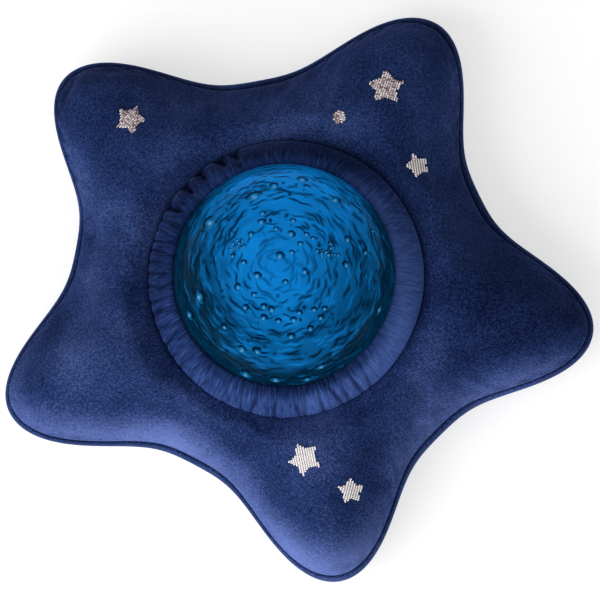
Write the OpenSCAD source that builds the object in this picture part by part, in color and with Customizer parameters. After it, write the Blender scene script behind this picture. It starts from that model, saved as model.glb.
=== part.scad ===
// Plush star night light with a water-effect projector under a rippled blue dome.
// Millimetres, +Z up. The origin is the middle of the footprint, on the table.

/* [Dome] */
// Outer radius of the dome
dome_r = 52; // [50:0.5:58]
// Thickness of the dome's wall
dome_wall = 2.4; // [1.6:0.1:3.2]
// Height of the moulded water ripples
ripple_depth = 0.5; // [0:0.05:0.8]
// Ripples between the dome's rim and its top
ripple_count = 8; // [4:1:9]
// Width of the dome's clamping flange
flange_w = 4.5; // [3.5:0.1:7]
// Thickness of the clamping flange
flange_t = 2; // [1.2:0.1:3]
// Thickness of the foam gasket under the flange
gasket_t = 0.8; // [0.5:0.1:1.5]
// Wall of the ring that clamps the dome
ring_wall = 2.1; // [1.5:0.1:3.5]

/* [Housing] */
// Height of the base shell's side
base_h = 38.5; // [37:0.5:50]
// Thickness of the base shell's side
wall = 2.2; // [1.6:0.1:3]
// Thickness of the base shell's floor
floor_t = 3.5; // [3.3:0.1:5]
// Radius of the base shell's lower edge
base_round = 4; // [2:0.5:5]
// Thickness of the deck that carries the light
deck_t = 2.5; // [2:0.1:4]
// Depth of the deck's skirt inside the base shell
skirt_h = 4; // [2:0.5:8]
// Height of the feet below the base
foot_h = 1.5; // [1:0.1:3]
// Radius of each foot
foot_r = 4.5; // [3:0.1:5]
// Wall of ribs, bosses and the battery bay
rib = 1.6; // [1.2:0.1:2]
// Shank radius of the housing screws
screw_r = 1.2; // [1:0.05:1.4]
// Bearing height of the housing screw heads above the underside
screw_seat = 8; // [5:0.5:12]
// Height of the base's screw bosses above the underside
boss_h = 18.5; // [15:0.5:24]

/* [Battery bay] */
// Diameter of a battery cell
cell_d = 14.5; // [13.5:0.1:15]
// Length of a battery cell
cell_l = 50.5; // [48:0.5:52]
// Number of cells side by side
cell_count = 3; // [2:1:3]
// Room for the contacts at both ends of the cells
contact_room = 7.5; // [6.5:0.1:9]
// Thickness of the battery door
door_t = 2; // [1.5:0.1:2.2]
// Width of the ledge that the door lies against
door_ledge = 2; // [1.5:0.1:3]
// Distance of the bay's middle behind the dome's axis
bay_y = 16; // [13:0.5:18]

/* [Controls] */
// Diameter of the two push buttons
button_d = 10.4; // [8:0.1:12]
// Travel of a push button
button_travel = 0.8; // [0.4:0.1:1.5]
// Travel of the power slider
slider_travel = 3; // [2:0.5:4]
// Diameter of the speaker
speaker_d = 28; // [24:0.5:30]
// Depth of the speaker
speaker_h = 12; // [9:0.5:15]
// Thickness of the circuit boards
board_t = 1.6; // [1:0.1:2]

/* [Wave drive] */
// Tooth module of the two gears
gear_module = 0.8; // [0.75:0.01:0.85]
// Teeth on the lens gear
lens_teeth = 90; // [84:2:92]
// Teeth on the motor's pinion
pinion_teeth = 12; // [12:2:16]
// Width of the lens gear's teeth
gear_face = 3; // [2:0.5:5]
// Height of the lens gear above the deck
gear_lift = 6.5; // [6:0.1:9]
// Diameter of the spindle that the lens turns on
spindle_d = 3; // [2:0.1:4]
// Height of the wave lens above its gear
lens_rise = 19; // [10:0.5:24]
// Thickness of the wave lens
lens_t = 1.8; // [1.2:0.1:3]
// Size of the motor across, along its flats and in height
motor_size = [10, 12, 24];
// Diameter of the motor's shaft
shaft_d = 3; // [2:0.1:3.4]

/* [Plush star] */
// Reach of the arms from the dome's axis
arm_reach = 143.2; // [125:0.2:165]
// Reach of the hollows between the arms
hollow_reach = 98.2; // [90:0.2:112]
// Pinch of the arms towards their tips
tip_pinch = 0.19; // [0:0.01:0.24]
// Bearing of the first arm
star_turn = 62.5; // [27:0.5:98]
// Height of the edge seam
seam_z = 22; // [16:0.5:28]
// Distance of the edge seam inside the outline
seam_inset = 2.2; // [0.5:0.1:4]
// Height of the widest place of the lower panel
belly_z = 15; // [8:0.5:15.5]
// Distance over which the lower panel rounds under
belly_run = 21; // [10:0.5:24]
// Rise of the crown above the edge seam
crown_rise = 34; // [20:0.5:36]
// Distance from the seam at which the crown is full
crown_run = 46; // [30:1:60]
// Thickness of the velour
cloth = 1.6; // [1:0.1:2.2]

/* [Collar] */
// Height of the seam between the collar and the star
collar_z = 46; // [42:0.5:46.5]
// Distance of the collar's seam outside the pocket's lining
collar_margin = 2.3; // [1.9:0.1:7]
// Width over which the star dips to the collar's seam
collar_dip = 16; // [8:0.5:24]
// Height of the collar's lip above the dome's rim
lip_rise = 14.8; // [10:0.1:16]
// Gathers around the collar
gathers = 40; // [24:1:40]
// Depth of a gather
gather_depth = 0.8; // [0.2:0.1:1.2]
// Radius of the elastic cord under the lip
elastic_r = 0.9; // [0.5:0.1:1]

/* [Embroidery] */
// Height of the stitching
stitch_h = 0.9; // [0.4:0.1:1.5]
// Depth of the notches between the points of an embroidered star
star_notch = 0.58; // [0.4:0.01:0.6]

/* [Fits] */
// Gap between pieces that only pass one another
clearance = 0.3; // [0.2:0.05:0.4]
// Gap of a turning or screwed fit
running = 0.05; // [0.02:0.01:0.1]
// Play between meshing teeth
backlash = 0.4; // [0.2:0.05:0.5]

/* [Hidden] */
$fn = 64;

// Heights of the stack, from the table up
floor_top = foot_h + floor_t;
wall_top = foot_h + base_h;
deck_top = wall_top + deck_t;
rim_z = deck_top + gasket_t + flange_t;
gear_z = deck_top + gear_lift;
lip_z = rim_z + lip_rise;

// Radii of the housing and of the pocket round it
flange_r = dome_r + flange_w;
housing_r = flange_r + clearance + ring_wall;
inner_r = housing_r - wall;
pocket_r = housing_r + 2 * clearance;
lining_r = pocket_r + cloth;
collar_r = lining_r + collar_margin;

// Places on the base, from the dome's axis
bay_l = cell_l + contact_room;
cell_pitch = cell_d + clearance;
nub_room = 3;
bay_w = cell_count * cell_pitch + 2 * clearance;
bay_roof = foot_h + door_t + cell_d + 4 * clearance;
cell_z = foot_h + door_t + cell_d / 2 + 2 * clearance;
door_l = bay_l + 2 * door_ledge;
door_w = bay_w + 2 * door_ledge;
door_corner = 4;
door_hinge_y = bay_y + door_w / 2;
ear_r = 5;
ear_y = bay_y - door_w / 2 - 1.5;
screw_x = housing_r - 12;
screw_spots = [[screw_x, 20], [-screw_x, 20], [screw_x, -14], [-screw_x, -14]];
screw_boss_r = 4;
screw_head = [2.6, 1.8];
foot_spots = [[0, -inner_r + 6], [housing_r - 19, 33], [19 - housing_r, 33]];
foot_sink = 0.8;
front_y = -housing_r;
speaker_at = [-26, front_y + 31.9];
button_spots = [[13, front_y + 33.9], [31, front_y + 33.9]];
slider_at = [22, front_y + 18.9];

// Push buttons and the switches above them
button_recess = 0.5;
button_flange = [button_d / 2 + 1.2, 1];
button_stem_r = 1.8;
button_stem_z = floor_top + clearance + button_flange[1] + 1.7;
plunger = [1.7, 1];
tact = [6, 3.5];
switch_board_z = button_stem_z + button_travel + running + plunger[1] + tact[1];
switch_board_size = [36, 26];
switch_board_at = [22, front_y + 27.9];
switch_posts = [[6, front_y + 21.9], [37, front_y + 25.9]];
slider_plate = [12, 7, 1.4];
slider_knob = [4, 3.6];
slider_nub = [1.6, 2];
slide_case = [10, 5, 4.2];

// Boards above the battery bay and under the lens
control_size = [50, 36];
control_z = bay_roof + rib + 4.5;
control_posts = [for (x = [-21, 21], y = [-14, 14]) [x, bay_y + y]];
post_r = 2.5;
small_screw = [0.9, 1.8, 1.1];
small_screw_l = 5;
led_board_r = 30;
led_board_z = deck_top + 1.2;
led_board_top = led_board_z + board_t;
led_posts = [for (a = [90, 210, 330]) 27 * [cos(a), sin(a)]];
led_spots = [for (a = [30, 150, 270]) 14 * [cos(a), sin(a)]];

// Wave drive
shaft_x = gear_module * (lens_teeth + pinion_teeth) / 2;
lens_pitch_r = gear_module * lens_teeth / 2;
gear_rim = 4.5;
lens_seat_r = lens_pitch_r - 2 * gear_module;
hub_r = spindle_d / 2 + 2.4;
hub_h = 10;
washer_t = 0.5;
spindle_top = gear_z + hub_h - 2;
motor_z = wall_top - motor_size[2] - clearance;
motor_screw_y = 4.2;
pressure_angle = 25;

// Star outline: each arm and hollow leans and reaches a little differently, as sewn
arm_lean = [-1.7, 2.5, -2.5, 1.1, 0];
arm_extra = [-1.5, 2.5, 1, -2.9, 0.2];
hollow_lean = [1.3, -0.8, -0.4, 0.2, -1.3];
hollow_extra = [-0.1, 4, -3.1, 1.4, 0.1];
arms = 5;
crown_power = 0.8;
around = 88;
bearings = [for (j = [0 : around - 1]) 360 * j / around];

// Embroidered motifs: place from the dome's axis, radius and turn; the last is a plain dot
star_motifs = [
    [[-71.5, 73.4], 7.4, 67], [[46.2, 87.2], 8.6, 90], [[60.4, 51.1], 5.9, 116],
    [[9, -83.6], 7.7, 119], [[29.4, -97.7], 6.1, 93]
];
dot_motif = [[25, 73], 2.9];

navy = "#232c60";
pale = "#e8ebee";

// Bearing and reach of the arms (even numbers) and hollows (odd numbers), counted round the star
function knot_bearing(k) = let (i = ((k % (2 * arms)) + 2 * arms) % (2 * arms), n = floor(i / 2))
    star_turn + (i + 2 * arms * floor(k / (2 * arms))) * 180 / arms
    + (i % 2 == 0 ? arm_lean[n] : hollow_lean[n]);
function knot_reach(k) = let (i = ((k % (2 * arms)) + 2 * arms) % (2 * arms), n = floor(i / 2))
    i % 2 == 0 ? arm_reach + arm_extra[n] : hollow_reach + hollow_extra[n];

// Rise of the outline from a hollow (0) to an arm's tip (1)
function arm_swell(t) = (1 - cos(180 * t)) / 2 - tip_pinch * (1 - cos(360 * t)) / 2;

// Reach of the star's outline at a bearing
function reach(a) = let (
        k = [for (k = [-3 : 2 * arms + 2]) if (knot_bearing(k) <= a && a < knot_bearing(k + 1)) k][0],
        t = (a - knot_bearing(k)) / (knot_bearing(k + 1) - knot_bearing(k)),
        here = knot_reach(k),
        next = knot_reach(k + 1)
    ) k % 2 == 0 ? next + (here - next) * arm_swell(1 - t) : here + (next - here) * arm_swell(t);

function polar(r, a) = [r * cos(a), r * sin(a)];
function lift(p, z) = [p[0], p[1], z];
outline = [for (a = bearings) polar(reach(a), a)];
xs = [for (p = outline) p[0]];
ys = [for (p = outline) p[1]];
middle = [(min(xs) + max(xs)) / 2, (min(ys) + max(ys)) / 2];

// Depth of a point inside the edge seam: the distance to a straight edge, less between two edges
seam_step = 2;
seam_line = [for (a = [0 : seam_step : 360]) polar(reach(a % 360) - seam_inset, a)];
function total(v) = [for (i = 0, t = 0; i <= len(v); t = i < len(v) ? t + v[i] : t, i = i + 1) t][len(v)];
function edge_gap(p) = sqrt(2 / total([for (i = [1 : len(seam_line) - 1])
    norm(seam_line[i] - seam_line[i - 1]) / pow(norm(p - (seam_line[i] + seam_line[i - 1]) / 2), 3)]));

// Height of the star's upper side, or of a layer that lies a depth below it
function swell(x) = x >= 1 ? 1 : pow(1 - pow(1 - max(x, 0), 2), crown_power);
function ease(x) = let (t = min(max(x, 0), 1)) t * t * (3 - 2 * t);
function crown_z(p, depth = 0) = let (
        full = seam_z + (crown_rise - depth) * swell((edge_gap(p) - depth) / crown_run),
        t = ease((norm(p) - collar_r) / collar_dip + 0.15)
    ) full * t + (collar_z - depth) * (1 - t);

// Rows of the upper side from the collar's seam to the edge seam
function crown_rows(start, depth, steps) = [for (i = [0 : steps]) let (s = (1 - cos(180 * i / steps)) / 2)
    [for (a = bearings) let (
            end = reach(a) - seam_inset - depth,
            p = polar(start + (end - start) * s, a)
        ) lift(p, i == steps ? seam_z : crown_z(p, depth))]];

// Rows of the lower side from the edge seam to the opening
function belly_rows(end, depth, steps) = concat(
    [[for (a = bearings) lift(polar(reach(a) - seam_inset - depth, a), seam_z)]],
    [for (i = [0 : steps]) let (t = 90 * i / steps)
        [for (a = bearings) lift(
            polar(reach(a) - depth - (belly_run - depth) * (1 - cos(t)), a),
            belly_z - (belly_z - depth) * sin(t)
        )]],
    [[for (a = bearings) lift(polar(end, a), depth)]]
);

function reversed(v) = [for (i = [len(v) - 1 : -1 : 0]) v[i]];

// Solid with a skin of rings. The run of rings closes on itself, or each end is a fan to a point.
module ring_solid(rings, ends = []) {
    n = len(rings[0]);
    m = len(rings);
    closed = len(ends) == 0;
    strips = [for (i = [0 : closed ? m - 1 : m - 2], j = [0 : n - 1], half = [0, 1]) let (
            a = i * n + j,
            b = i * n + (j + 1) % n,
            c = ((i + 1) % m) * n + (j + 1) % n,
            d = ((i + 1) % m) * n + j
        ) half == 0 ? [a, b, c] : [a, c, d]];
    fans = closed ? [] : [for (j = [0 : n - 1], half = [0, 1]) let (k = (j + 1) % n)
        half == 0 ? [m * n, k, j] : [m * n + 1, (m - 1) * n + j, (m - 1) * n + k]];
    polyhedron([each [for (ring = rings) each ring], each ends], concat(strips, fans), convexity = 10);
}

// Plate with rounded corners, centred
module plate(l, w, r, h) {
    linear_extrude(h) {
        square([l - 2 * r, w], center = true);
        square([l, w - 2 * r], center = true);
        for (x = [-1, 1], y = [-1, 1])
            translate([x * (l / 2 - r), y * (w / 2 - r)])
                circle(r);
    }
}

// Upright tube between two heights
module tube(outer, inner, z0, z1) {
    translate([0, 0, z0])
        difference() {
            cylinder(r = outer, h = z1 - z0);
            translate([0, 0, -1])
                cylinder(r = inner, h = z1 - z0 + 2);
        }
}

// Upright rod between two heights
module rod(r, z0, z1) {
    translate([0, 0, z0])
        cylinder(r = r, h = z1 - z0);
}

// Head of a screw between two heights, with a cross recess cut in from a third
module screw_head_solid(r, z0, z1, recess_z, recess_h) {
    arm = [1.2 * r, 0.35 * r];
    difference() {
        rod(r, z0, z1);
        translate([0, 0, recess_z])
            linear_extrude(recess_h) {
                square(arm, center = true);
                square([arm[1], arm[0]], center = true);
            }
    }
}

// Screw that points up, with its head's bearing face at z
module screw_up(z, shank_r, length, head) {
    screw_head_solid(head[0], z - head[1], z, z - 1.5 * head[1], head[1]);
    rod(shank_r, z - 0.1, z + length);
}

// Screw that points down, with its head's bearing face at z
module screw_down(z, shank_r, length, head) {
    screw_head_solid(head[0], z, z + head[1], z + head[1] / 2, head[1]);
    rod(shank_r, z - length, z + 0.1);
}

module at(p) {
    translate([p[0], p[1], 0])
        children();
}

// Upper velour panel, crowned over the stuffing and dipped to the collar's seam
module star_top_panel() {
    color(navy)
        ring_solid(concat(crown_rows(collar_r, 0, 7), reversed(crown_rows(collar_r, cloth, 5))));
}

// Lower velour panel, which bulges past the seam and lies flat on the table
module star_bottom_panel() {
    end = binding_r + binding_t + clearance;
    color(navy)
        ring_solid(concat(belly_rows(end, 0, 4), reversed(belly_rows(end, cloth, 3))));
}

// Fibre filling of the star, round the pocket
module stuffing() {
    depth = cloth + 2 * clearance;
    upper = crown_rows(collar_r + clearance, depth, 5);
    lower = belly_rows(binding_r + binding_t + 2 * clearance, depth, 3);
    color("white")
        ring_solid(concat(upper, [for (i = [1 : len(lower) - 1]) lower[i]]));
}

// Sleeve between the two openings of the star
module pocket_lining() {
    color(navy)
        tube(lining_r, pocket_r, 2 * binding_t + 2 * clearance, collar_z - cloth - clearance);
}

// Rolled binding of the opening under the star
binding_t = 1.4;
binding_r = pocket_r + binding_t;
module opening_binding() {
    color(navy)
        translate([0, 0, binding_t + clearance])
            rotate_extrude()
                translate([binding_r, 0])
                    circle(binding_t);
}

// Radius of the dome's outside at a height above its rim
function dome_at(h) = sqrt(dome_r * dome_r - h * h);

// Gathered collar that hugs the dome: its section, with the share of the gathers at each point
function collar_section() = let (
        lip_r = dome_at(lip_rise) + ripple_depth + clearance,
        foot = collar_z - cloth
    ) [
        [collar_r - clearance, foot, 0],
        [collar_r - clearance - gather_depth, collar_z + 2.6, 1],
        [collar_r - 4.4, lip_z - 2.4, 1],
        [lip_r + 3, lip_z + 1.6, 0.5],
        [lip_r, lip_z - 0.4, 0],
        [lip_r + 2.4, lip_z - 3.4, 0],
        [pocket_r, foot, 0]
    ];

// Gathers bunch and spread around the collar
function gather(a) = cos(gathers * a + 50 * sin(3 * a) + 30 * sin(7 * a));

module gathered_collar() {
    steps = 4 * gathers;
    color(navy)
        ring_solid([for (s = reversed(collar_section())) [for (j = [0 : steps - 1]) let (
                a = 360 * j / steps,
                swing = gather_depth * s[2] * gather(a)
            ) lift(polar(s[0] + swing, a), s[1] + swing / 2)]]);
}

// Elastic cord sewn under the collar's lip
module collar_elastic() {
    h = lip_rise - 5.5;
    color("white")
        translate([0, 0, rim_z + h])
            rotate_extrude()
                translate([dome_at(h) + ripple_depth + clearance + elastic_r, 0])
                    circle(elastic_r);
}

// Embroidered patch on the crown: a ring of points round a middle
module patch(middle_at, ring) {
    function seat(p, z) = lift(p, crown_z(p) + z);
    ring_solid(
        [for (z = [clearance + stitch_h, clearance]) [for (p = ring) seat(p, z)]],
        [seat(middle_at, clearance + stitch_h), seat(middle_at, clearance)]
    );
}

module embroidered_stars() {
    color("#d9c9b8") {
        for (m = star_motifs)
            patch(m[0], [for (i = [0 : 2 * arms - 1])
                m[0] + polar(i % 2 == 0 ? m[1] : m[1] * star_notch, m[2] + i * 180 / arms)]);
        patch(dot_motif[0], [for (a = [0 : 30 : 330]) dot_motif[0] + polar(dot_motif[1], a)]);
    }
}

// Outline of the battery door, grown by a margin, with the ear for its screw
module door_plate(margin, h) {
    translate([0, bay_y, 0])
        plate(door_l + 2 * margin, door_w + 2 * margin, door_corner, h);
    translate([0, ear_y, 0])
        cylinder(r = ear_r + margin, h = h);
}

// Tongues that hook the door behind its ledge
door_tongue = [9, 3, 1.2];
tongue_xs = [-16, 16];

// Ring of holes, for the speaker's grille
module grille_holes() {
    rod(1.1, foot_h - 1, floor_top + 1);
    for (ring = [1, 2, 3], i = [0 : 6 * ring - 1])
        at(polar(3.6 * ring, i * 60 / ring))
            rod(1.1, foot_h - 1, floor_top + 1);
}

// Cup of the base: floor, rounded lower edge and side
module base_cup() {
    rotate_extrude()
        polygon(concat(
            [[0, foot_h]],
            [for (a = [270 : 15 : 360])
                [housing_r - base_round, foot_h + base_round] + polar(base_round, a)],
            [[housing_r, wall_top], [inner_r, wall_top], [inner_r, floor_top], [0, floor_top]]
        ));
}

// Lower shell of the projector, with the battery bay, speaker grille and holes for the controls
module base_shell() {
    door_boss_h = 9;
    color(pale)
        difference() {
            union() {
                base_cup();
                translate([0, bay_y, foot_h])
                    plate(bay_l + 2 * rib, bay_w + 2 * rib, rib, bay_roof + rib - foot_h);
                for (p = screw_spots)
                    at(p)
                        rod(screw_boss_r, foot_h, foot_h + boss_h);
                for (p = control_posts)
                    at(p)
                        rod(post_r, bay_roof, control_z);
                for (p = switch_posts)
                    at(p)
                        rod(post_r, floor_top - 1, switch_board_z);
                at([0, ear_y])
                    rod(3.5, floor_top - 1, floor_top + door_boss_h);
                at(speaker_at)
                    tube(speaker_d / 2 + clearance + rib, speaker_d / 2 + clearance, floor_top - 1,
                        floor_top + 4);
            }
            translate([-bay_l / 2, bay_y - bay_w / 2, foot_h - 1])
                cube([bay_l, bay_w, bay_roof - foot_h + 1]);
            translate([0, 0, foot_h - 1])
                door_plate(clearance, door_t + 1);
            for (x = tongue_xs)
                translate([x - door_tongue[0] / 2 - clearance, door_hinge_y - 6, foot_h + door_t - 0.2])
                    cube([door_tongue[0] + 2 * clearance, door_tongue[1] + 6 + 2 * clearance, 6]);
            at([0, ear_y])
                rod(screw_r + 2 * clearance, foot_h - 1, floor_top + door_boss_h - 3);
            for (p = screw_spots)
                at(p) {
                    rod(screw_head[0] + clearance, foot_h - 1, foot_h + screw_seat);
                    rod(screw_r + clearance, foot_h, foot_h + boss_h + 1);
                }
            for (p = foot_spots)
                at(p)
                    rod(foot_r + clearance, foot_h - 1, foot_h + foot_sink);
            for (p = button_spots)
                at(p)
                    rod(button_d / 2 + clearance, foot_h - 1, floor_top + 1);
            at(slider_at)
                translate([0, 0, foot_h - 1])
                    plate(slider_knob[0] + slider_travel + 2 * clearance, slider_knob[1] + 2 * clearance,
                        1, floor_t + 2);
            for (p = concat(control_posts, switch_posts))
                at(p)
                    rod(small_screw[0] + running, floor_top + 3, control_z + 1);
            at(speaker_at)
                grille_holes();
        }
}

// Deck that closes the base and carries the motor, the lamp board and the lens
module deck() {
    socket = [motor_size[0] + 2 * clearance, motor_size[1] + 2 * clearance];
    color(pale)
        difference() {
            union() {
                rod(housing_r, wall_top, deck_top);
                tube(inner_r - clearance, inner_r - clearance - wall, wall_top - skirt_h, wall_top + 1);
                for (p = screw_spots)
                    at(p)
                        rod(screw_boss_r, foot_h + boss_h, wall_top + 1);
                rod(spindle_d / 2 + 2.6, wall_top, gear_z - washer_t - running);
                for (p = led_posts)
                    at(p)
                        rod(post_r, wall_top, led_board_z);
                translate([shaft_x, 0, wall_top - motor_size[2] / 2])
                    plate(socket[0] + 2 * rib, socket[1] + 2 * rib, rib, motor_size[2] / 2 + 1);
            }
            translate([shaft_x - socket[0] / 2, -socket[1] / 2, wall_top - motor_size[2]])
                cube([socket[0], socket[1], motor_size[2]]);
            at([shaft_x, 0])
                rod(shaft_d / 2 + 2 * clearance, wall_top - 1, deck_top + 1);
            for (y = [-motor_screw_y, motor_screw_y])
                at([shaft_x, y])
                    rod(small_screw[0] + running, wall_top - 1, deck_top + 1);
            rod(spindle_d / 2 + running, wall_top - 1, gear_z);
            for (p = screw_spots)
                at(p)
                    rod(screw_r + running, foot_h + boss_h - 1, wall_top - 4);
            for (p = led_posts)
                at(p)
                    rod(small_screw[0] + running, deck_top - 1.5, led_board_z + 1);
        }
}

// Ripples of the dome at a bearing and an angle from its top
function ripple(q, a) = ripple_depth * ease(q / 12) * ease((86 - q) / 8)
    * sin(4 * ripple_count * q + 70 * sin(3 * a) + 40 * sin(5 * a + 80));

// Dome with moulded ripples outside, smooth inside, on a clamping flange
module dome_lens() {
    columns = [for (j = [0 : 79]) 360 * j / 80];
    outer_rows = 28;
    inner_rows = 6;
    inside = dome_r - dome_wall;
    function row(r, z) = [for (a = columns) lift(polar(r, a), z)];
    outside = [for (i = [1 : outer_rows]) let (q = 90 * i / outer_rows)
        [for (a = columns) let (r = dome_r + ripple(q, a))
            lift(polar(r * sin(q), a), rim_z + r * cos(q))]];
    flange = [row(flange_r, rim_z), row(flange_r, rim_z - flange_t), row(inside, rim_z - flange_t)];
    hollow = [for (i = [inner_rows : -1 : 1]) let (q = 90 * i / inner_rows)
        row(inside * sin(q), rim_z + inside * cos(q))];
    color("#1668b8", 0.8)
        ring_solid(concat(outside, flange, hollow), [[0, 0, rim_z + dome_r], [0, 0, rim_z + inside]]);
}

// Foam gasket between the dome's flange and the deck
module dome_gasket() {
    color("#303338")
        tube(flange_r, dome_r - dome_wall, deck_top, deck_top + gasket_t);
}

// Ring that clamps the dome's flange to the deck
module dome_ring() {
    lip = 2;
    top = rim_z + lip;
    color(pale)
        rotate_extrude()
            polygon([
                [housing_r - ring_wall, deck_top], [housing_r, deck_top], [housing_r, rim_z - 0.6],
                [housing_r - ring_wall - lip, top], [dome_r + 2 * clearance, top],
                [dome_r + 2 * clearance, rim_z + running], [housing_r - ring_wall, rim_z + running]
            ]);
}

// Half angle of a tooth at a radius, from the involute of its base circle
function involute_angle(a) = tan(a) * 180 / PI - a;
function tooth_half(teeth, r) = let (
        pitch_r = gear_module * teeth / 2,
        base_r = pitch_r * cos(pressure_angle),
        play = backlash / 4 / pitch_r * 180 / PI
    ) 90 / teeth - play + involute_angle(pressure_angle) - involute_angle(acos(min(1, base_r / r)));

// Outline of a gear with stub teeth, turned by an angle
function gear_outline(teeth, turn) = let (
        pitch_r = gear_module * teeth / 2,
        root = pitch_r - 1.15 * gear_module,
        tip = pitch_r + 0.8 * gear_module,
        flank = [root, max(root + 0.1, pitch_r - 0.5 * gear_module), pitch_r, tip]
    ) [for (i = [0 : teeth - 1]) let (a = turn + 360 * i / teeth) each concat(
        [for (r = flank) polar(r, a - tooth_half(teeth, r))],
        [for (r = reversed(flank)) polar(r, a + tooth_half(teeth, r))]
    )];

// Gear ring, spokes and hub that carry the wave lens round the spindle
module lens_gear() {
    inner = lens_pitch_r - gear_rim;
    spoke_step = gear_face / 8;
    color("white")
        difference() {
            union() {
                translate([0, 0, gear_z])
                    linear_extrude(gear_face)
                        difference() {
                            polygon(gear_outline(lens_teeth, 0));
                            circle(inner);
                        }
                for (a = [90, 210, 330])
                    rotate(a)
                        translate([hub_r / 2, -rib / 2, gear_z + spoke_step])
                            cube([inner + gear_rim / 2 - hub_r / 2, rib, gear_face - 2 * spoke_step]);
                rod(hub_r, gear_z, gear_z + hub_h);
            }
            rod(spindle_d / 2 + running, gear_z - 1, spindle_top + 0.5);
        }
}

// Clear cap with circular waves that bends the light, seated on the gear ring
module wave_lens() {
    seat_z = gear_z + gear_face;
    curve_r = (lens_seat_r * lens_seat_r + lens_rise * lens_rise) / (2 * lens_rise);
    open = asin(lens_seat_r / curve_r);
    steps = 30;
    waves = 5;
    function arc_point(r, t) = [r * sin(open * t), seat_z + lens_rise - curve_r + r * cos(open * t)];
    function wave(t) = 0.35 * (1 - cos(360 * waves * t));
    top = [for (i = [0 : steps]) arc_point(curve_r + wave(i / steps), i / steps)];
    under = [for (i = [steps : -5 : 0]) arc_point(curve_r - lens_t, i / steps)];
    color("#bfe3f2", 0.5)
        rotate_extrude()
            intersection() {
                polygon(concat(top, under));
                translate([0, seat_z])
                    square([lens_seat_r + 1, lens_rise + 5]);
            }
}

module lens_spindle() {
    color("silver")
        rod(spindle_d / 2, wall_top, spindle_top);
}

module thrust_washer() {
    color("white")
        tube(hub_r, spindle_d / 2 + running, gear_z - washer_t - running, gear_z - running);
}

// Round board under the lens
module led_board() {
    color("#f2f3ee")
        difference() {
            rod(led_board_r, led_board_z, led_board_top);
            rod(spindle_d / 2 + 2.6 + clearance, led_board_z - 1, led_board_top + 1);
            for (p = led_posts)
                at(p)
                    rod(small_screw[0] + clearance, led_board_z - 1, led_board_top + 1);
        }
}

module leds() {
    case_h = 1;
    color("#f6e9a8")
        for (p = led_spots)
            at(p) {
                translate([-2.5, -2.5, led_board_top])
                    cube([5, 5, case_h]);
                intersection() {
                    translate([0, 0, led_board_top + case_h])
                        sphere(1.9);
                    rod(2.5, led_board_top + case_h - 0.1, led_board_top + 4);
                }
            }
}

// Flared reflector round the lamps
module light_reflector() {
    top_r = lens_pitch_r - gear_rim - 1;
    foot_in = 20;
    skin = 1;
    top_z = gear_z - 3 * clearance;
    color("white")
        rotate_extrude()
            polygon([
                [foot_in, led_board_top], [foot_in + skin, led_board_top], [top_r, top_z],
                [top_r - skin, top_z]
            ]);
}

// Geared motor that hangs in the deck's socket
module drive_motor() {
    gearbox_h = 9;
    can_z = motor_z + 1.5;
    top = motor_z + motor_size[2];
    color("silver")
        difference() {
            union() {
                translate([shaft_x - motor_size[0] / 2, -motor_size[1] / 2, top - gearbox_h])
                    cube([motor_size[0], motor_size[1], gearbox_h]);
                at([shaft_x, 0]) {
                    intersection() {
                        rod(motor_size[1] / 2, can_z, top - gearbox_h + 0.1);
                        translate([-motor_size[0] / 2, -motor_size[1] / 2, can_z])
                            cube([motor_size[0], motor_size[1], motor_size[2]]);
                    }
                    rod(2.2, motor_z, can_z + 0.1);
                }
            }
            at([shaft_x, 0])
                rod(shaft_d / 2 + running, top - gearbox_h + 3, top + 1);
            for (y = [-motor_screw_y, motor_screw_y])
                at([shaft_x, y])
                    rod(small_screw[0] + running, top - 4, top + 1);
        }
}

module motor_shaft() {
    color("silver")
        at([shaft_x, 0])
            rod(shaft_d / 2, motor_z + motor_size[2] - 6 + running, gear_z + gear_face + 1);
}

// Pinion on the motor's shaft, which drives the lens gear
module motor_pinion() {
    low = gear_z - clearance;
    high = gear_z + gear_face + clearance;
    color("white")
        difference() {
            union() {
                at([shaft_x, 0])
                    translate([0, 0, low])
                        linear_extrude(high - low)
                            polygon(gear_outline(pinion_teeth, 180 + 180 / pinion_teeth));
                at([shaft_x, 0])
                    rod(shaft_d / 2 + 1.4, deck_top + 2, low + 0.1);
            }
            at([shaft_x, 0])
                rod(shaft_d / 2 + running, deck_top, high + 1);
        }
}

module motor_screws() {
    color("silver")
        for (y = [-motor_screw_y, motor_screw_y])
            at([shaft_x, y])
                screw_down(deck_top, small_screw[0], deck_t + 3, [small_screw[1], small_screw[2]]);
}

// Board over the battery bay
module control_board() {
    color("#2f6b3c")
        difference() {
            translate([0, bay_y, control_z])
                plate(control_size[0], control_size[1], 2, board_t);
            for (p = control_posts)
                at(p)
                    rod(small_screw[0] + clearance, control_z - 1, control_z + board_t + 1);
        }
}

// Chip, capacitors and plug sockets on the control board
module board_parts() {
    z = control_z + board_t;
    color("#26282c") {
        translate([-9, bay_y - 6, z])
            cube([12, 12, 1.6]);
        for (x = [10, 17])
            translate([x, bay_y + 5, z])
                cylinder(r = 2.5, h = 6);
        for (y = [-9, -2, 5])
            translate([-23, bay_y + y, z])
                cube([5, 6, 5]);
    }
}

// Small board that carries the switches, over the buttons
module switch_board() {
    color("#2f6b3c")
        difference() {
            intersection() {
                translate([switch_board_at[0], switch_board_at[1], switch_board_z])
                    plate(switch_board_size[0], switch_board_size[1], 2, board_t);
                rod(inner_r - 1, switch_board_z - 1, switch_board_z + board_t + 1);
            }
            for (p = switch_posts)
                at(p)
                    rod(small_screw[0] + clearance, switch_board_z - 1, switch_board_z + board_t + 1);
        }
}

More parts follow.
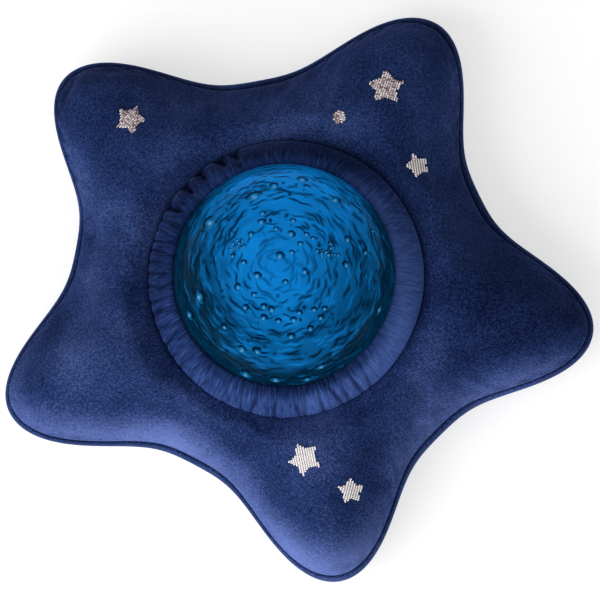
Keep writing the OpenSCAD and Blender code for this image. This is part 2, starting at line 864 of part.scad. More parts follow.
module tact_switches() {
    color("#26282c")
        for (p = button_spots)
            at(p) {
                translate([-tact[0] / 2, -tact[0] / 2, switch_board_z - tact[1]])
                    cube([tact[0], tact[0], tact[1]]);
                rod(plunger[0], switch_board_z - tact[1] - plunger[1], switch_board_z - tact[1] + 0.1);
            }
}

// Case of the power switch, open below for the slider's nub
module slide_switch() {
    color("silver")
        at(slider_at)
            difference() {
                translate([0, 0, switch_board_z - slide_case[2]])
                    plate(slide_case[0], slide_case[1], 0.5, slide_case[2]);
                translate([0, 0, switch_board_z - slide_case[2] - 1])
                    plate(slider_nub[0] + slider_travel + 2 * clearance, slider_nub[1] + 2 * clearance,
                        0.5, 3.4);
            }
}

// Screws of the three boards
module board_screws() {
    head = [small_screw[1], small_screw[2]];
    color("silver") {
        for (p = control_posts)
            at(p)
                screw_down(control_z + board_t, small_screw[0], small_screw_l, head);
        for (p = switch_posts)
            at(p)
                screw_down(switch_board_z + board_t, small_screw[0], small_screw_l, head);
        for (p = led_posts)
            at(p)
                screw_down(led_board_top, small_screw[0], board_t + 2, head);
    }
}

// Push button in the base's floor, with its flange inside
module push_button(p) {
    cap_z = foot_h + button_recess;
    flange_z = floor_top + clearance;
    at(p) {
        rod(button_d / 2, cap_z, flange_z + 0.1);
        rod(button_flange[0], flange_z, flange_z + button_flange[1]);
        rod(button_stem_r, flange_z, button_stem_z);
    }
}

module light_button() {
    color("#4f9fd8")
        push_button(button_spots[0]);
}

module sound_button() {
    color("#4f9fd8")
        push_button(button_spots[1]);
}

// Thumb slider of the power switch, at the middle of its travel
module power_slider() {
    z = floor_top + clearance;
    knob_z = foot_h + button_recess;
    color("#4f9fd8")
        at(slider_at) {
            translate([0, 0, z])
                plate(slider_plate[0], slider_plate[1], 1, slider_plate[2]);
            translate([0, 0, knob_z])
                plate(slider_knob[0], slider_knob[1], 0.8, z - knob_z + 0.1);
            translate([0, 0, z])
                plate(slider_nub[0], slider_nub[1], 0.3, switch_board_z - slide_case[2] + 2 - z);
        }
}

module speaker_gasket() {
    color("#303338")
        at(speaker_at)
            tube(speaker_d / 2, speaker_d / 2 - 2, floor_top, floor_top + 1);
}

// Pressed basket of the speaker
module speaker_frame() {
    z = floor_top + 1;
    r = speaker_d / 2;
    color("silver")
        at(speaker_at)
            rotate_extrude()
                polygon([
                    [r - 2.4, z], [r, z], [r, z + 1.2], [r - 1.4, z + 1.2], [r / 2 + 1, z + speaker_h / 2],
                    [r / 2 + 1, z + speaker_h / 2 + 1], [r / 4, z + speaker_h / 2 + 1],
                    [r / 4, z + speaker_h / 2], [r / 2, z + speaker_h / 2], [r - 2.4, z + 1]
                ]);
}

// Paper cone with its dust cap
module speaker_cone() {
    z = floor_top + 1;
    r = speaker_d / 2 - 2.6;
    color("#33363c")
        at(speaker_at)
            rotate_extrude()
                polygon([
                    [0, z + 2.2], [r / 4, z + 2.6], [r * 0.5, z + 2.4], [r * 0.94, z + 0.2], [r, z + 0.2],
                    [r, z + 0.5], [r * 0.5, z + 3.4], [0, z + 3.4]
                ]);
}

module speaker_magnet() {
    z = floor_top + 2 + speaker_h / 2;
    color("#4a4d52")
        at(speaker_at)
            rod(speaker_d / 4 + 0.5, z, z + speaker_h / 2 - 1);
}

// Three cells side by side, every second one turned round
module battery_cells() {
    nub = [2.6, 1];
    leaf_room = contact_room - nub_room;
    color("#3f8f52")
        for (i = [0 : cell_count - 1])
            translate([0, bay_y + (i - (cell_count - 1) / 2) * cell_pitch, cell_z])
                rotate([0, i % 2 == 0 ? 90 : -90, 0])
                    translate([0, 0, leaf_room - bay_l / 2]) {
                        cylinder(r = cell_d / 2, h = cell_l - nub[1]);
                        cylinder(r = nub[0], h = cell_l);
                    }
}

// Sprung leaf at the flat end of each cell and plate at its nub, against the bay's ends
module battery_contacts() {
    leaf_w = 8;
    skin = 0.4;
    plate_t = nub_room - clearance;
    color("silver")
        for (i = [0 : cell_count - 1])
            translate([0, bay_y + (i - (cell_count - 1) / 2) * cell_pitch, cell_z])
                rotate(i % 2 == 0 ? 0 : 180) {
                    bow = contact_room - nub_room - clearance;
                    translate([-bay_l / 2, leaf_w / 2, 0])
                        rotate([90, 0, 0])
                            linear_extrude(leaf_w)
                                polygon([
                                    [0, 5], [skin, 5], [bow, 0.4], [bow, -0.4], [skin, -5], [0, -5],
                                    [0, -4.6], [bow - skin, -0.2], [bow - skin, 0.2], [0, 4.6]
                                ]);
                    translate([bay_l / 2 - plate_t, -leaf_w / 2, -leaf_w / 2])
                        cube([plate_t, leaf_w, leaf_w]);
                }
}

// Door of the battery bay, hooked at the back and screwed at its ear
module battery_door() {
    rib_l = bay_w - 12;
    color(pale)
        difference() {
            union() {
                translate([0, 0, foot_h])
                    door_plate(0, door_t);
                for (x = tongue_xs)
                    translate([x - door_tongue[0] / 2, door_hinge_y - 4, foot_h + door_t - 0.1])
                        cube([door_tongue[0], 4 + door_tongue[1], door_tongue[2] + 0.1]);
            }
            at([0, ear_y]) {
                rod(screw_head[0] + clearance, foot_h - 1, foot_h + door_t / 2);
                rod(screw_r + running, foot_h, foot_h + door_t + 1);
            }
            for (x = [-18, -9, 0, 9, 18])
                translate([x - 0.6, bay_y - rib_l / 2, foot_h - 1])
                    cube([1.2, rib_l, 1.4]);
        }
}

// Short captive screw of the battery door
module door_screw() {
    color("silver")
        at([0, ear_y])
            screw_up(foot_h + door_t / 2, screw_r, door_t / 2 + 3, [screw_head[0], door_t / 2 - 0.2]);
}

module housing_screws() {
    color("silver")
        for (p = screw_spots)
            at(p)
                screw_up(foot_h + screw_seat, screw_r, boss_h - screw_seat + 8, screw_head);
}

module rubber_feet() {
    color("#3a3d42")
        for (p = foot_spots)
            at(p)
                rod(foot_r, 0, foot_h + foot_sink);
}

// Puts a piece drawn about the dome's axis over the middle of the footprint
module place() {
    translate([-middle[0], -middle[1], 0])
        children();
}

place() star_top_panel();
place() star_bottom_panel();
place() stuffing();
place() pocket_lining();
place() gathered_collar();
place() collar_elastic();
place() opening_binding();
place() embroidered_stars();
place() base_shell();
place() deck();
place() dome_lens();
place() dome_gasket();
place() dome_ring();
place() wave_lens();
place() lens_gear();
place() lens_spindle();
place() thrust_washer();
place() led_board();
place() leds();
place() light_reflector();
place() drive_motor();
place() motor_shaft();
place() motor_pinion();
place() motor_screws();
place() control_board();
place() board_parts();
place() switch_board();
place() tact_switches();
place() slide_switch();
place() board_screws();
place() light_button();
place() sound_button();
place() power_slider();
place() speaker_gasket();
place() speaker_frame();
place() speaker_cone();
place() speaker_magnet();
place() battery_cells();
place() battery_contacts();
place() battery_door();
place() door_screw();
place() housing_screws();
place() rubber_feet();
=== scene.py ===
# %% [markdown]
# # A plush star night light with a water-effect dome
# A stuffed velour star sits round a small projector whose rippled blue dome shows through a gathered
# collar. The CAD frame already holds every solid at its real size. This lesson keeps the rigid pieces
# and gives them materials, and makes the soft pieces and the dome again with more shape.

import bpy
import numpy as np
from mathutils import Matrix, Vector
from mathutils.bvhtree import BVHTree


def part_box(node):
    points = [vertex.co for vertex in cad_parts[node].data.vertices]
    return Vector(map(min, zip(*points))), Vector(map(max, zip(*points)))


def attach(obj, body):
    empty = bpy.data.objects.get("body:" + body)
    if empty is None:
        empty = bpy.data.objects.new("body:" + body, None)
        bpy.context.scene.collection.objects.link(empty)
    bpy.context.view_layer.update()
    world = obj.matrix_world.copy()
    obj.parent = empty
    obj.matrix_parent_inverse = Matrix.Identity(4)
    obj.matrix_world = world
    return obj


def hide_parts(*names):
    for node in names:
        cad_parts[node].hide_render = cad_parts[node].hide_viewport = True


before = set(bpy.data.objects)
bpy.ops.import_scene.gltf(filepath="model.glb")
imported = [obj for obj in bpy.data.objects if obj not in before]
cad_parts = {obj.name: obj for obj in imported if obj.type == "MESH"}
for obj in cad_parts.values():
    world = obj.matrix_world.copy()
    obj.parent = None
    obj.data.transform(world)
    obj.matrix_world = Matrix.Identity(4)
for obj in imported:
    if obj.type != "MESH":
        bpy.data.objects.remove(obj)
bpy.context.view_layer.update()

MM = 0.001
low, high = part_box("dome_lens")
axis = np.array([low.x + high.x, low.y + high.y]) / 2 / MM
foot = np.array([*axis, 0])
print("dome axis, mm:", axis.round(3), "nodes:", len(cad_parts))

# %% [markdown]
# Every colour here is written as the hex value that a paint chart would give, and Blender's shaders
# want linear light, so one function turns one into the other. Node trees are built by one small
# function too: each input is a plain value, or the socket that feeds it, and a colour ramp also takes
# its stops.

# %% Colour and node helpers
def linear(code):
    """The linear RGBA of an sRGB hex colour."""
    parts = [int(code[i:i + 2], 16) / 255 for i in (1, 3, 5)]
    return [c / 12.92 if c <= 0.04045 else ((c + 0.055) / 1.055) ** 2.4 for c in parts] + [1.0]


def node(tree, kind, inputs=None, stops=(), **settings):
    """Adds a node with its settings, links and colour stops, and returns it."""
    made = tree.nodes.new(kind)
    for name, value in settings.items():
        setattr(made, name, value)
    for key, value in (inputs or {}).items():
        if isinstance(value, bpy.types.NodeSocket):
            tree.links.new(value, made.inputs[key])
        else:
            made.inputs[key].default_value = value
    if stops:
        ramp = made.color_ramp.elements
        ramp[0].position, ramp[-1].position = stops[0][0], stops[-1][0]
        for position, _ in stops[1:-1]:
            ramp.new(position)
        for stop, (_, color) in zip(ramp, stops):
            stop.color = color
    return made


def new_material(name, color, roughness, **sockets):
    """A material with one Principled shader, its tree and that shader."""
    mat = bpy.data.materials.new(name)
    mat.use_nodes = True
    shader = mat.node_tree.nodes["Principled BSDF"]
    values = {"Base Color": linear(color), "Roughness": roughness, **sockets}
    for key, value in values.items():
        shader.inputs[key].default_value = value
    return mat, mat.node_tree, shader


def link(name, data):
    """Puts mesh, light or camera data into the scene as an object."""
    thing = bpy.data.objects.new(name, data)
    bpy.context.scene.collection.objects.link(thing)
    return thing


print("white is", linear("#ffffff"))

# %% [markdown]
# The photograph looks almost straight down, from a little in front and a little to the right, so the
# high dome shifts up and left of the seam below it. A long lens far away keeps that shift small. The
# camera is set first, because every later choice is judged through it.

# %% Camera
PHOTO_PX, MM_PER_PX = 600, 0.4653
DISTANCE, SENSOR = 1.45, 36
LEAN_RIGHT, LEAN_FRONT = 3.0, 6.3
LOOK_AT = (5.23, -7.84, 22.0)

target = Vector(foot + LOOK_AT) * MM
back = Vector((np.tan(np.radians(LEAN_RIGHT)), -np.tan(np.radians(LEAN_FRONT)), 1.0)).normalized()
right = Vector((0, 1, 0)).cross(back).normalized()
up = back.cross(right)
camera = link("camera", bpy.data.cameras.new("camera"))
camera.matrix_world = Matrix(
    [(right[i], up[i], back[i], target[i] + back[i] * DISTANCE) for i in range(3)] + [(0, 0, 0, 1)])
camera.data.sensor_width = SENSOR
camera.data.lens = SENSOR * DISTANCE / (PHOTO_PX * MM_PER_PX * MM)
bpy.context.scene.camera = camera
print("lens, mm:", round(camera.data.lens, 1))

# %% [markdown]
# The studio floor is white paper. To the camera, and to what metal mirrors and glass shows, it has some
# light of its own, so that it reads as white. The rest of its white is reflected light, so the star's
# shadow still falls on it. The world is white to the same rays, and dimmer where it lights the object.

# %% Floor and world
FLOOR_HALF, FLOOR_Z, FLOOR_OWN_LIGHT = 6.0, -0.0003, 0.6
WORLD_LIGHT, WORLD_SEEN = 0.3, 1.0


def seen_rays(tree):
    """1 for rays from the camera, a mirror or a glass, and 0 for light on the object."""
    path = node(tree, "ShaderNodeLightPath")
    seen = node(tree, "ShaderNodeMath",
                {0: path.outputs["Is Camera Ray"], 1: path.outputs["Is Glossy Ray"]}, operation="MAXIMUM")
    return node(tree, "ShaderNodeMath",
                {0: seen.outputs[0], 1: path.outputs["Is Transmission Ray"]}, operation="MAXIMUM")


paper_floor, tree, shader = new_material("white paper floor", "#cfcfcf", 0.9)
glow = node(tree, "ShaderNodeEmission", {"Color": (1, 1, 1, 1), "Strength": FLOOR_OWN_LIGHT})
nothing = node(tree, "ShaderNodeEmission", {"Strength": 0.0})
shown = node(tree, "ShaderNodeMixShader",
             {0: seen_rays(tree).outputs[0], 1: nothing.outputs[0], 2: glow.outputs[0]})
total = node(tree, "ShaderNodeAddShader", {0: shader.outputs[0], 1: shown.outputs[0]})
tree.links.new(total.outputs[0], tree.nodes["Material Output"].inputs["Surface"])

floor_mesh = bpy.data.meshes.new("floor")
corners = [(x * FLOOR_HALF, y * FLOOR_HALF, FLOOR_Z) for x, y in ((-1, -1), (1, -1), (1, 1), (-1, 1))]
floor_mesh.from_pydata(corners, [], [(0, 1, 2, 3)])
floor_mesh.materials.append(paper_floor)
floor = link("floor", floor_mesh)

world = bpy.data.worlds.new("studio")
bpy.context.scene.world = world
world.use_nodes = True
sky = world.node_tree
strength = node(sky, "ShaderNodeMix", {0: seen_rays(sky).outputs[0], 2: WORLD_LIGHT, 3: WORLD_SEEN},
                data_type="FLOAT")
sky.nodes["Background"].inputs["Color"].default_value = (1, 1, 1, 1)
sky.links.new(strength.outputs[0], sky.nodes["Background"].inputs["Strength"])
print("floor, m:", 2 * FLOOR_HALF, "world light:", WORLD_LIGHT)

# %% [markdown]
# Two soft panels light the star. The larger one stands in front and to the left, low enough to brighten
# the rims that face it and leave the far rims dark. A small lamp would draw hard shadows, and velour
# needs the slow change from light to dark that a wide panel gives.

# %% Lights
AIM = Vector((0, 0, 0.04))


def soft_light(name, place, size, watts):
    lamp = bpy.data.lights.new(name, "AREA")
    lamp.shape, lamp.energy = "RECTANGLE", watts
    lamp.size, lamp.size_y = size
    light = link(name, lamp)
    light.location = place
    light.rotation_euler = (AIM - Vector(place)).to_track_quat("-Z", "Y").to_euler()


soft_light("key panel", (-1.3, -0.9, 1.2), (1.8, 1.4), 30)
soft_light("front panel", (0.3, -1.6, 0.8), (1.6, 1.0), 9)
bpy.context.scene.view_settings.view_transform = "Standard"

# %% [markdown]
# The star is two velour panels sewn together and stuffed. Its outline swings between five round tips
# and five hollows, each leaning a little, as hand sewing leaves them. The rule below gives the reach
# of the outline at any bearing from the dome's axis. It has the same sizes as the solid's rule, so the
# soft piece fits its place.

# %% Outline of the star
SEAM_INSET, FAR_ROLL = 2.2, 1.5
FIRST_TIP, KNOT_STEP, WAIST = 62.5, 36, 0.19
TIP_REACH, HOLLOW_REACH = 143.2, 98.2
TIP_LEAN, HOLLOW_LEAN = (-1.7, 2.5, -2.5, 1.1, 0), (1.3, -0.8, -0.4, 0.2, -1.3)
TIP_EXTRA, HOLLOW_EXTRA = (-1.5, 2.5, 1, -2.9, 0.2), (-0.1, 4, -3.1, 1.4, 0.1)

knots = np.arange(-4, 16)
arm = knots % 10 // 2
is_tip = knots % 2 == 0
lean = np.where(is_tip, np.array(TIP_LEAN)[arm], np.array(HOLLOW_LEAN)[arm])
extra = np.where(is_tip, np.array(TIP_EXTRA)[arm], np.array(HOLLOW_EXTRA)[arm])
knot_bearing = FIRST_TIP + KNOT_STEP * knots + lean
knot_reach = np.where(is_tip, TIP_REACH, HOLLOW_REACH) + extra


def ease(x):
    """A smooth step from 0 to 1."""
    x = np.clip(x, 0, 1)
    return x * x * (3 - 2 * x)


def star_reach(bearing):
    """Reach of the outline from the dome's axis, mm, at bearings in degrees."""
    k = np.searchsorted(knot_bearing, bearing, side="right") - 1
    t = (bearing - knot_bearing[k]) / (knot_bearing[k + 1] - knot_bearing[k])
    tip_first = is_tip[k]
    t = np.where(tip_first, 1 - t, t)
    rise = (1 - np.cos(np.pi * t)) / 2 - WAIST * (1 - np.cos(2 * np.pi * t)) / 2
    hollow = np.where(tip_first, knot_reach[k + 1], knot_reach[k])
    tip = np.where(tip_first, knot_reach[k], knot_reach[k + 1])
    return hollow + (tip - hollow) * rise


def polar(r, bearing):
    return np.stack([r * np.cos(np.radians(bearing)), r * np.sin(np.radians(bearing))], -1)


def seam_inset(bearing):
    """Depth of the edge seam inside the outline, mm: on the far edges the lower panel rolls out more."""
    step = [polar(star_reach((bearing + side) % 360), bearing + side) for side in (0.5, -0.5)]
    way = step[0] - step[1]
    return SEAM_INSET + FAR_ROLL * ease((0.1 - way[:, 0] / np.linalg.norm(way, axis=1)) / 0.7)


every_degree = star_reach(np.arange(0, 360.0))
print("star reaches, mm:", every_degree.min().round(1), "to", every_degree.max().round(1))

# %% [markdown]
# Filling makes a sewn panel rise fast from its seam and level out. So the height of the crown follows
# from the distance to the seam, and near the collar it dips to the collar's own seam. A plain distance
# would leave a ridge along the middle of each arm. A sum over the whole seam gives a smooth one.

# %% Crown of the star
COLLAR_R, COLLAR_Z, COLLAR_DIP = 63.4, 46.0, 16.0
SEAM_Z, CROWN_RISE, CROWN_RUN = 22.0, 34.0, 46.0

seam_bearing = np.arange(0, 362, 2.0)
seam_line = polar(star_reach(seam_bearing % 360) - seam_inset(seam_bearing), seam_bearing)
seam_mid = (seam_line[1:] + seam_line[:-1]) / 2
seam_len = np.linalg.norm(np.diff(seam_line, axis=0), axis=1)


def edge_gap(p):
    """Depth of points inside the seam: the distance to a straight edge, and less between two edges."""
    away = np.linalg.norm(p[..., None, :] - seam_mid, axis=-1)
    return np.sqrt(2 / (seam_len / np.maximum(away, 0.05) ** 3).sum(-1))


def crown_z(p):
    x = np.clip(edge_gap(p) / CROWN_RUN, 0, 1)
    full = SEAM_Z + CROWN_RISE * (1 - (1 - x) ** 2) ** 0.8
    t = ease((np.linalg.norm(p, axis=-1) - COLLAR_R) / COLLAR_DIP + 0.15)
    return full * t + COLLAR_Z * (1 - t)


first_arm = crown_z(polar(85.0, FIRST_TIP))
print("seam, mm:", seam_len.sum().round(0), "crown on the first arm, mm:", first_arm.round(1))

# %% [markdown]
# Most soft pieces here are skins of rings: a grid of points that closes on itself one way or both.
# One function turns such a grid into a mesh in the frame, in metres, with smooth faces that point
# outwards.

# %% Skins of rings
def ring(r, z, bearing):
    """Points of one ring, from its radius, its height and its bearings."""
    return np.concatenate([polar(r + 0 * bearing, bearing), (z + 0 * bearing)[:, None]], 1)


def ring_skin(name, rings, loop=False, poles=()):
    """A mesh object from rings of points in mm about the dome's axis. loop joins the last ring to the
    first, and poles are points that close the first and last ring instead."""
    rings = np.asarray(rings, float)
    m, n = rings.shape[:2]
    points = rings.reshape(-1, 3)
    j = np.arange(n)
    k = (j + 1) % n
    quads = [np.stack([i * n + j, i * n + k, (i + 1) % m * n + k, (i + 1) % m * n + j], 1)
             for i in range(m if loop else m - 1)]
    faces = np.concatenate(quads).tolist()
    if len(poles):
        points = np.concatenate([points, poles])
        faces += [[m * n, b, a] for a, b in zip(j.tolist(), k.tolist())]
        faces += [[m * n + 1, (m - 1) * n + a, (m - 1) * n + b] for a, b in zip(j.tolist(), k.tolist())]
    a, b, c, d = (points[[face[i] for face in faces]] for i in (0, 1, 2, -1))
    volume = (np.einsum("ij,ij->i", a, np.cross(b, c)) + np.einsum("ij,ij->i", a, np.cross(c, d))).sum() / 6
    if volume < 0:
        faces = [face[::-1] for face in faces]
    mesh = bpy.data.meshes.new(name)
    mesh.from_pydata(((points + foot) * MM).tolist(), [], faces)
    mesh.update()
    mesh.polygons.foreach_set("use_smooth", [True] * len(mesh.polygons))
    return link(name, mesh)


def points_of(piece):
    """Vertices of a piece in mm about the dome's axis."""
    flat = np.empty(len(piece.data.vertices) * 3)
    piece.data.vertices.foreach_get("co", flat)
    return flat.reshape(-1, 3) / MM - foot


def paint(piece, name, values):
    """Stores one number, or one vector, for each vertex, which a material or a node tree can read."""
    values = np.array(values, float)
    is_vector = values.ndim > 1 and values.shape[-1] == 3
    kind, field = ("FLOAT_VECTOR", "vector") if is_vector else ("FLOAT", "value")
    piece.data.attributes.new(name, kind, "POINT").data.foreach_set(field, values.ravel())


def finish_piece(piece, body, nodes, slot, *materials):
    """Gives a piece its materials, puts it on the body that carries it and hides the solids it stands for.
    slot is not used.
    """
    for mat in materials:
        piece.data.materials.append(mat)
    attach(piece, body)
    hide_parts(*nodes)
    print(piece.name, "rides on", body, "with", len(piece.data.polygons), "faces")


print("a ring of four:", ring(1.0, 0.0, np.arange(0, 360, 90)).round(1).tolist())

# %% [markdown]
# The cushion is one closed skin: over the crown from the collar, down into the groove of the edge
# seam, round the lower panel's bulge, flat along the table and up the wall of the pocket. The motifs
# are sewn through the panel, so the crown sinks a little under each of them.

# %% Skin of the star cushion
# middle, radius and turn of each embroidered star, and of the dot
MOTIFS = [((-71.5, 73.4), 7.4, 67), ((46.2, 87.2), 8.6, 90), ((60.4, 51.1), 5.9, 116),
          ((9, -83.6), 7.7, 119), ((29.4, -97.7), 6.1, 93)]
DOT = ((25, 73), 2.9, 0)
SEWN_DEPTH, REST_Z = 0.9, 0.15
BELLY_Z, BELLY_RUN, OPENING_R = 15.0, 21.0, 62.7
# inset from the outline, height, and share of the far edges' roll
GROOVE = ((2.9, 22.4, 1.0), (3.2, 21.3, 1.0), (2.5, 21.5, 1.0))
SHOULDER = ((1.75, 21.5, 0.8), (1.1, 20.6, 0.5), (0.55, 18.9, 0.2), (0.15, 16.8, 0.0), (0.0, 15.0, 0.0))
# radius and height
POCKET = ((62.5, 0.9), (62.2, 8), (62.2, 20), (62.2, 32), (62.2, 42), (62.7, 44.6))

around = np.arange(0, 360, 1.25)
reach = star_reach(around)
rolled = seam_inset(around) - SEAM_INSET


def crown_ring(inset, share):
    """Ring on the crown: a share of the way from the collar to a line inset from the seam."""
    p = polar(COLLAR_R + (reach - SEAM_INSET - rolled - inset - COLLAR_R) * share, around)
    z = crown_z(p)
    for middle, radius, _ in [*MOTIFS, DOT]:
        away = np.linalg.norm(p - middle, axis=1) / (radius * 1.15)
        z = z - SEWN_DEPTH * np.exp(-away ** 4)
    return np.concatenate([p, z[:, None]], 1)


def level_ring(inset, z, roll=0.0):
    return ring(reach - inset - roll * rolled, z, around)


crown = [crown_ring(4.0, s) for s in 1 - (1 - np.linspace(0, 1, 26)) ** 1.25]
crown += [crown_ring(inset, 1.0) for inset in (2.6, 1.5, 0.8)]
side = [level_ring(*at) for at in GROOVE + SHOULDER]
belly = [level_ring(BELLY_RUN * (1 - np.cos(t)), BELLY_Z * (1 - np.sin(t)) + REST_Z)
         for t in np.radians(np.linspace(0, 90, 10)[1:])]
inner = reach - BELLY_RUN
sole = [ring(inner + (OPENING_R - inner) * s, REST_Z, around) for s in (0.2, 0.4, 0.6, 0.8, 0.93, 1.0)]
pocket = [ring(r, z, around) for r, z in POCKET]
skin = [*crown, *side, *belly, *sole, *pocket]
star = ring_skin("star_cushion", skin[::-1], loop=True)
row = np.repeat(np.arange(len(skin))[::-1], len(around))
first_groove = len(crown)
print("rings:", len(skin), "points:", len(star.data.vertices))

# %% [markdown]
# Stuffing pushes the panels out between the seams that hold them. A short cloth simulation does the
# same: the seams, the flat underside and the pocket are pinned, the velour is cut a little larger than
# the form, and pressure fills it for twenty frames. The movement is capped, so the star keeps its
# sewn outline and only gains the slight unevenness of a hand-filled toy.

# %% Stuff the star
FRAMES, PRESSURE, SHRINK, CAP = 20, 4, -0.012, 1.6
first_free = first_groove + len(side) + 3
at_seam = (row >= first_groove - 1) & (row < first_free)
held = (row < 2) | at_seam | (row >= len(skin) - len(pocket) - len(sole))
before = points_of(star)
pins = star.vertex_groups.new(name="pins")
pins.add(np.nonzero(held)[0].tolist(), 1.0, "REPLACE")
cloth = star.modifiers.new("filling", "CLOTH")
cloth.settings.quality = 6
cloth.settings.vertex_group_mass = "pins"
cloth.settings.use_pressure = True
cloth.settings.uniform_pressure_force = PRESSURE
cloth.settings.shrink_min = SHRINK
cloth.settings.effector_weights.gravity = 0
for frame_number in range(1, FRAMES + 1):
    bpy.context.scene.frame_set(frame_number)
filled = star.evaluated_get(bpy.context.evaluated_depsgraph_get())
move = np.array([v.co for v in filled.data.vertices]) / MM - foot - before
star.modifiers.remove(cloth)
bpy.context.scene.frame_set(1)
size = np.linalg.norm(move, axis=1, keepdims=True)
stuffed = before + move * np.minimum(1, CAP / np.maximum(size, 1e-6))
stuffed[:, 2] = np.maximum(stuffed[:, 2], REST_Z)
star.data.vertices.foreach_set("co", ((stuffed + foot) * MM).ravel())
star.data.update()
print("stuffing moved the skin by up to", size.max().round(2), "mm, of which", CAP, "mm is kept")

# %% [markdown]
# Velour changes tone with the lie of its pile. On top of that, light and shade are painted in: rims that
# face the front are painted lighter, far rims darker, and broad patches lighter or darker. So each point
# keeps one number for its pile with that painted light, and one for the painted shade of its seam.

# %% Pile, painted light and painted seam shade of the star
# middle, half width and half height of each patch of painted light and shade, its change of tone, and if only
# the rim has it
PAINTED_LIGHT_PATCHES = ((112, -32, 42, 38, -0.14, False), (-45, -75, 35, 35, -0.12, False),
           (-105, 70, 40, 45, -0.09, False), (-58, -75, 30, 22, 0.3, True),
           (25, -112, 30, 25, -0.08, False), (24, -134, 16, 12, -0.25, True), (-95, -42, 22, 18, 0.07, False))
UPPER_NAP, LOWER_NAP = 0.435, 0.38

seam_row = row - first_groove - 1
# painted shade in the groove of the edge seam, wider on the far edges, and a little along the collar's seam
seam_wide = 1.1 + 0.6 * np.tile(rolled, len(skin)) * (seam_row > 0)
paint(star, "seam", np.maximum(np.exp(-(seam_row / seam_wide) ** 2), 0.2 * (row < 1)))

facing = np.empty(len(star.data.vertices) * 3)
star.data.vertex_normals.foreach_get("vector", facing)
facing = facing.reshape(-1, 3)
flat_place = points_of(star)[:, :2]
towards = -(0.05 * facing[:, 0] + facing[:, 1])
to_front = np.clip(towards, 0, 1)
rim = 1 - ease((edge_gap(flat_place) - 1) / 17)
# painted highlight on the rims that face the front, painted shade on the far rims, and more painted highlight
# on the front rims near the bottom
nap_and_painted_light = UPPER_NAP + rim * np.where(towards > 0, 0.4 * towards, 0.16 * towards)
nap_and_painted_light += rim * (0.14 + 0.2 * to_front) * ease((-flat_place[:, 1] - 75) / 55)
for x, y, half_wide, half_high, change, rim_only in PAINTED_LIGHT_PATCHES:
    light_patch = np.exp(-((flat_place[:, 0] - x) / half_wide) ** 2 - ((flat_place[:, 1] - y) / half_high) ** 2)
    nap_and_painted_light += change * light_patch * (rim if rim_only else 1)
# the lower panel's strip is painted a little lighter where it faces the front
paint(star, "nap_and_painted_light", np.where(seam_row > 0, LOWER_NAP + 0.1 * to_front, nap_and_painted_light))
rounding = star.modifiers.new("rounding", "SUBSURF")
rounding.levels = rounding.render_levels = 1
print("pile from", nap_and_painted_light.min().round(2), "to", nap_and_painted_light.max().round(2))

# %% [markdown]
# Velour is a knit with a short dense pile. Seen along the pile it is deep navy, and at grazing angles the
# fibre tips catch the light, which the Principled shader's sheen layer gives. The knit shows as faint ribs
# where the pile lies flat. The kept tone of each point, with its painted light, picks the colour, and the
# seams are painted dark as shade. The collar uses the same finish, with its tufts drawn along the
# gathered strip.

# %% Velour
# real pile tufts are 0.2 mm, drawn at 1 mm so that they show
PATCH_MM, TUFT_MM, RIB_MM, RIB_TURN = 34, 1.0, 1.1, -62
# dark, middle and light tones, picked by each point's kept tone with its painted light and shade
STAR_TONES = ("#071232", "#223667", "#697cc0")
COLLAR_TONES = ("#051232", "#1f3568", "#5a79c8")
FIBRE_TIPS, SEAM_SHADE = "#7f97f0", "#030a28"


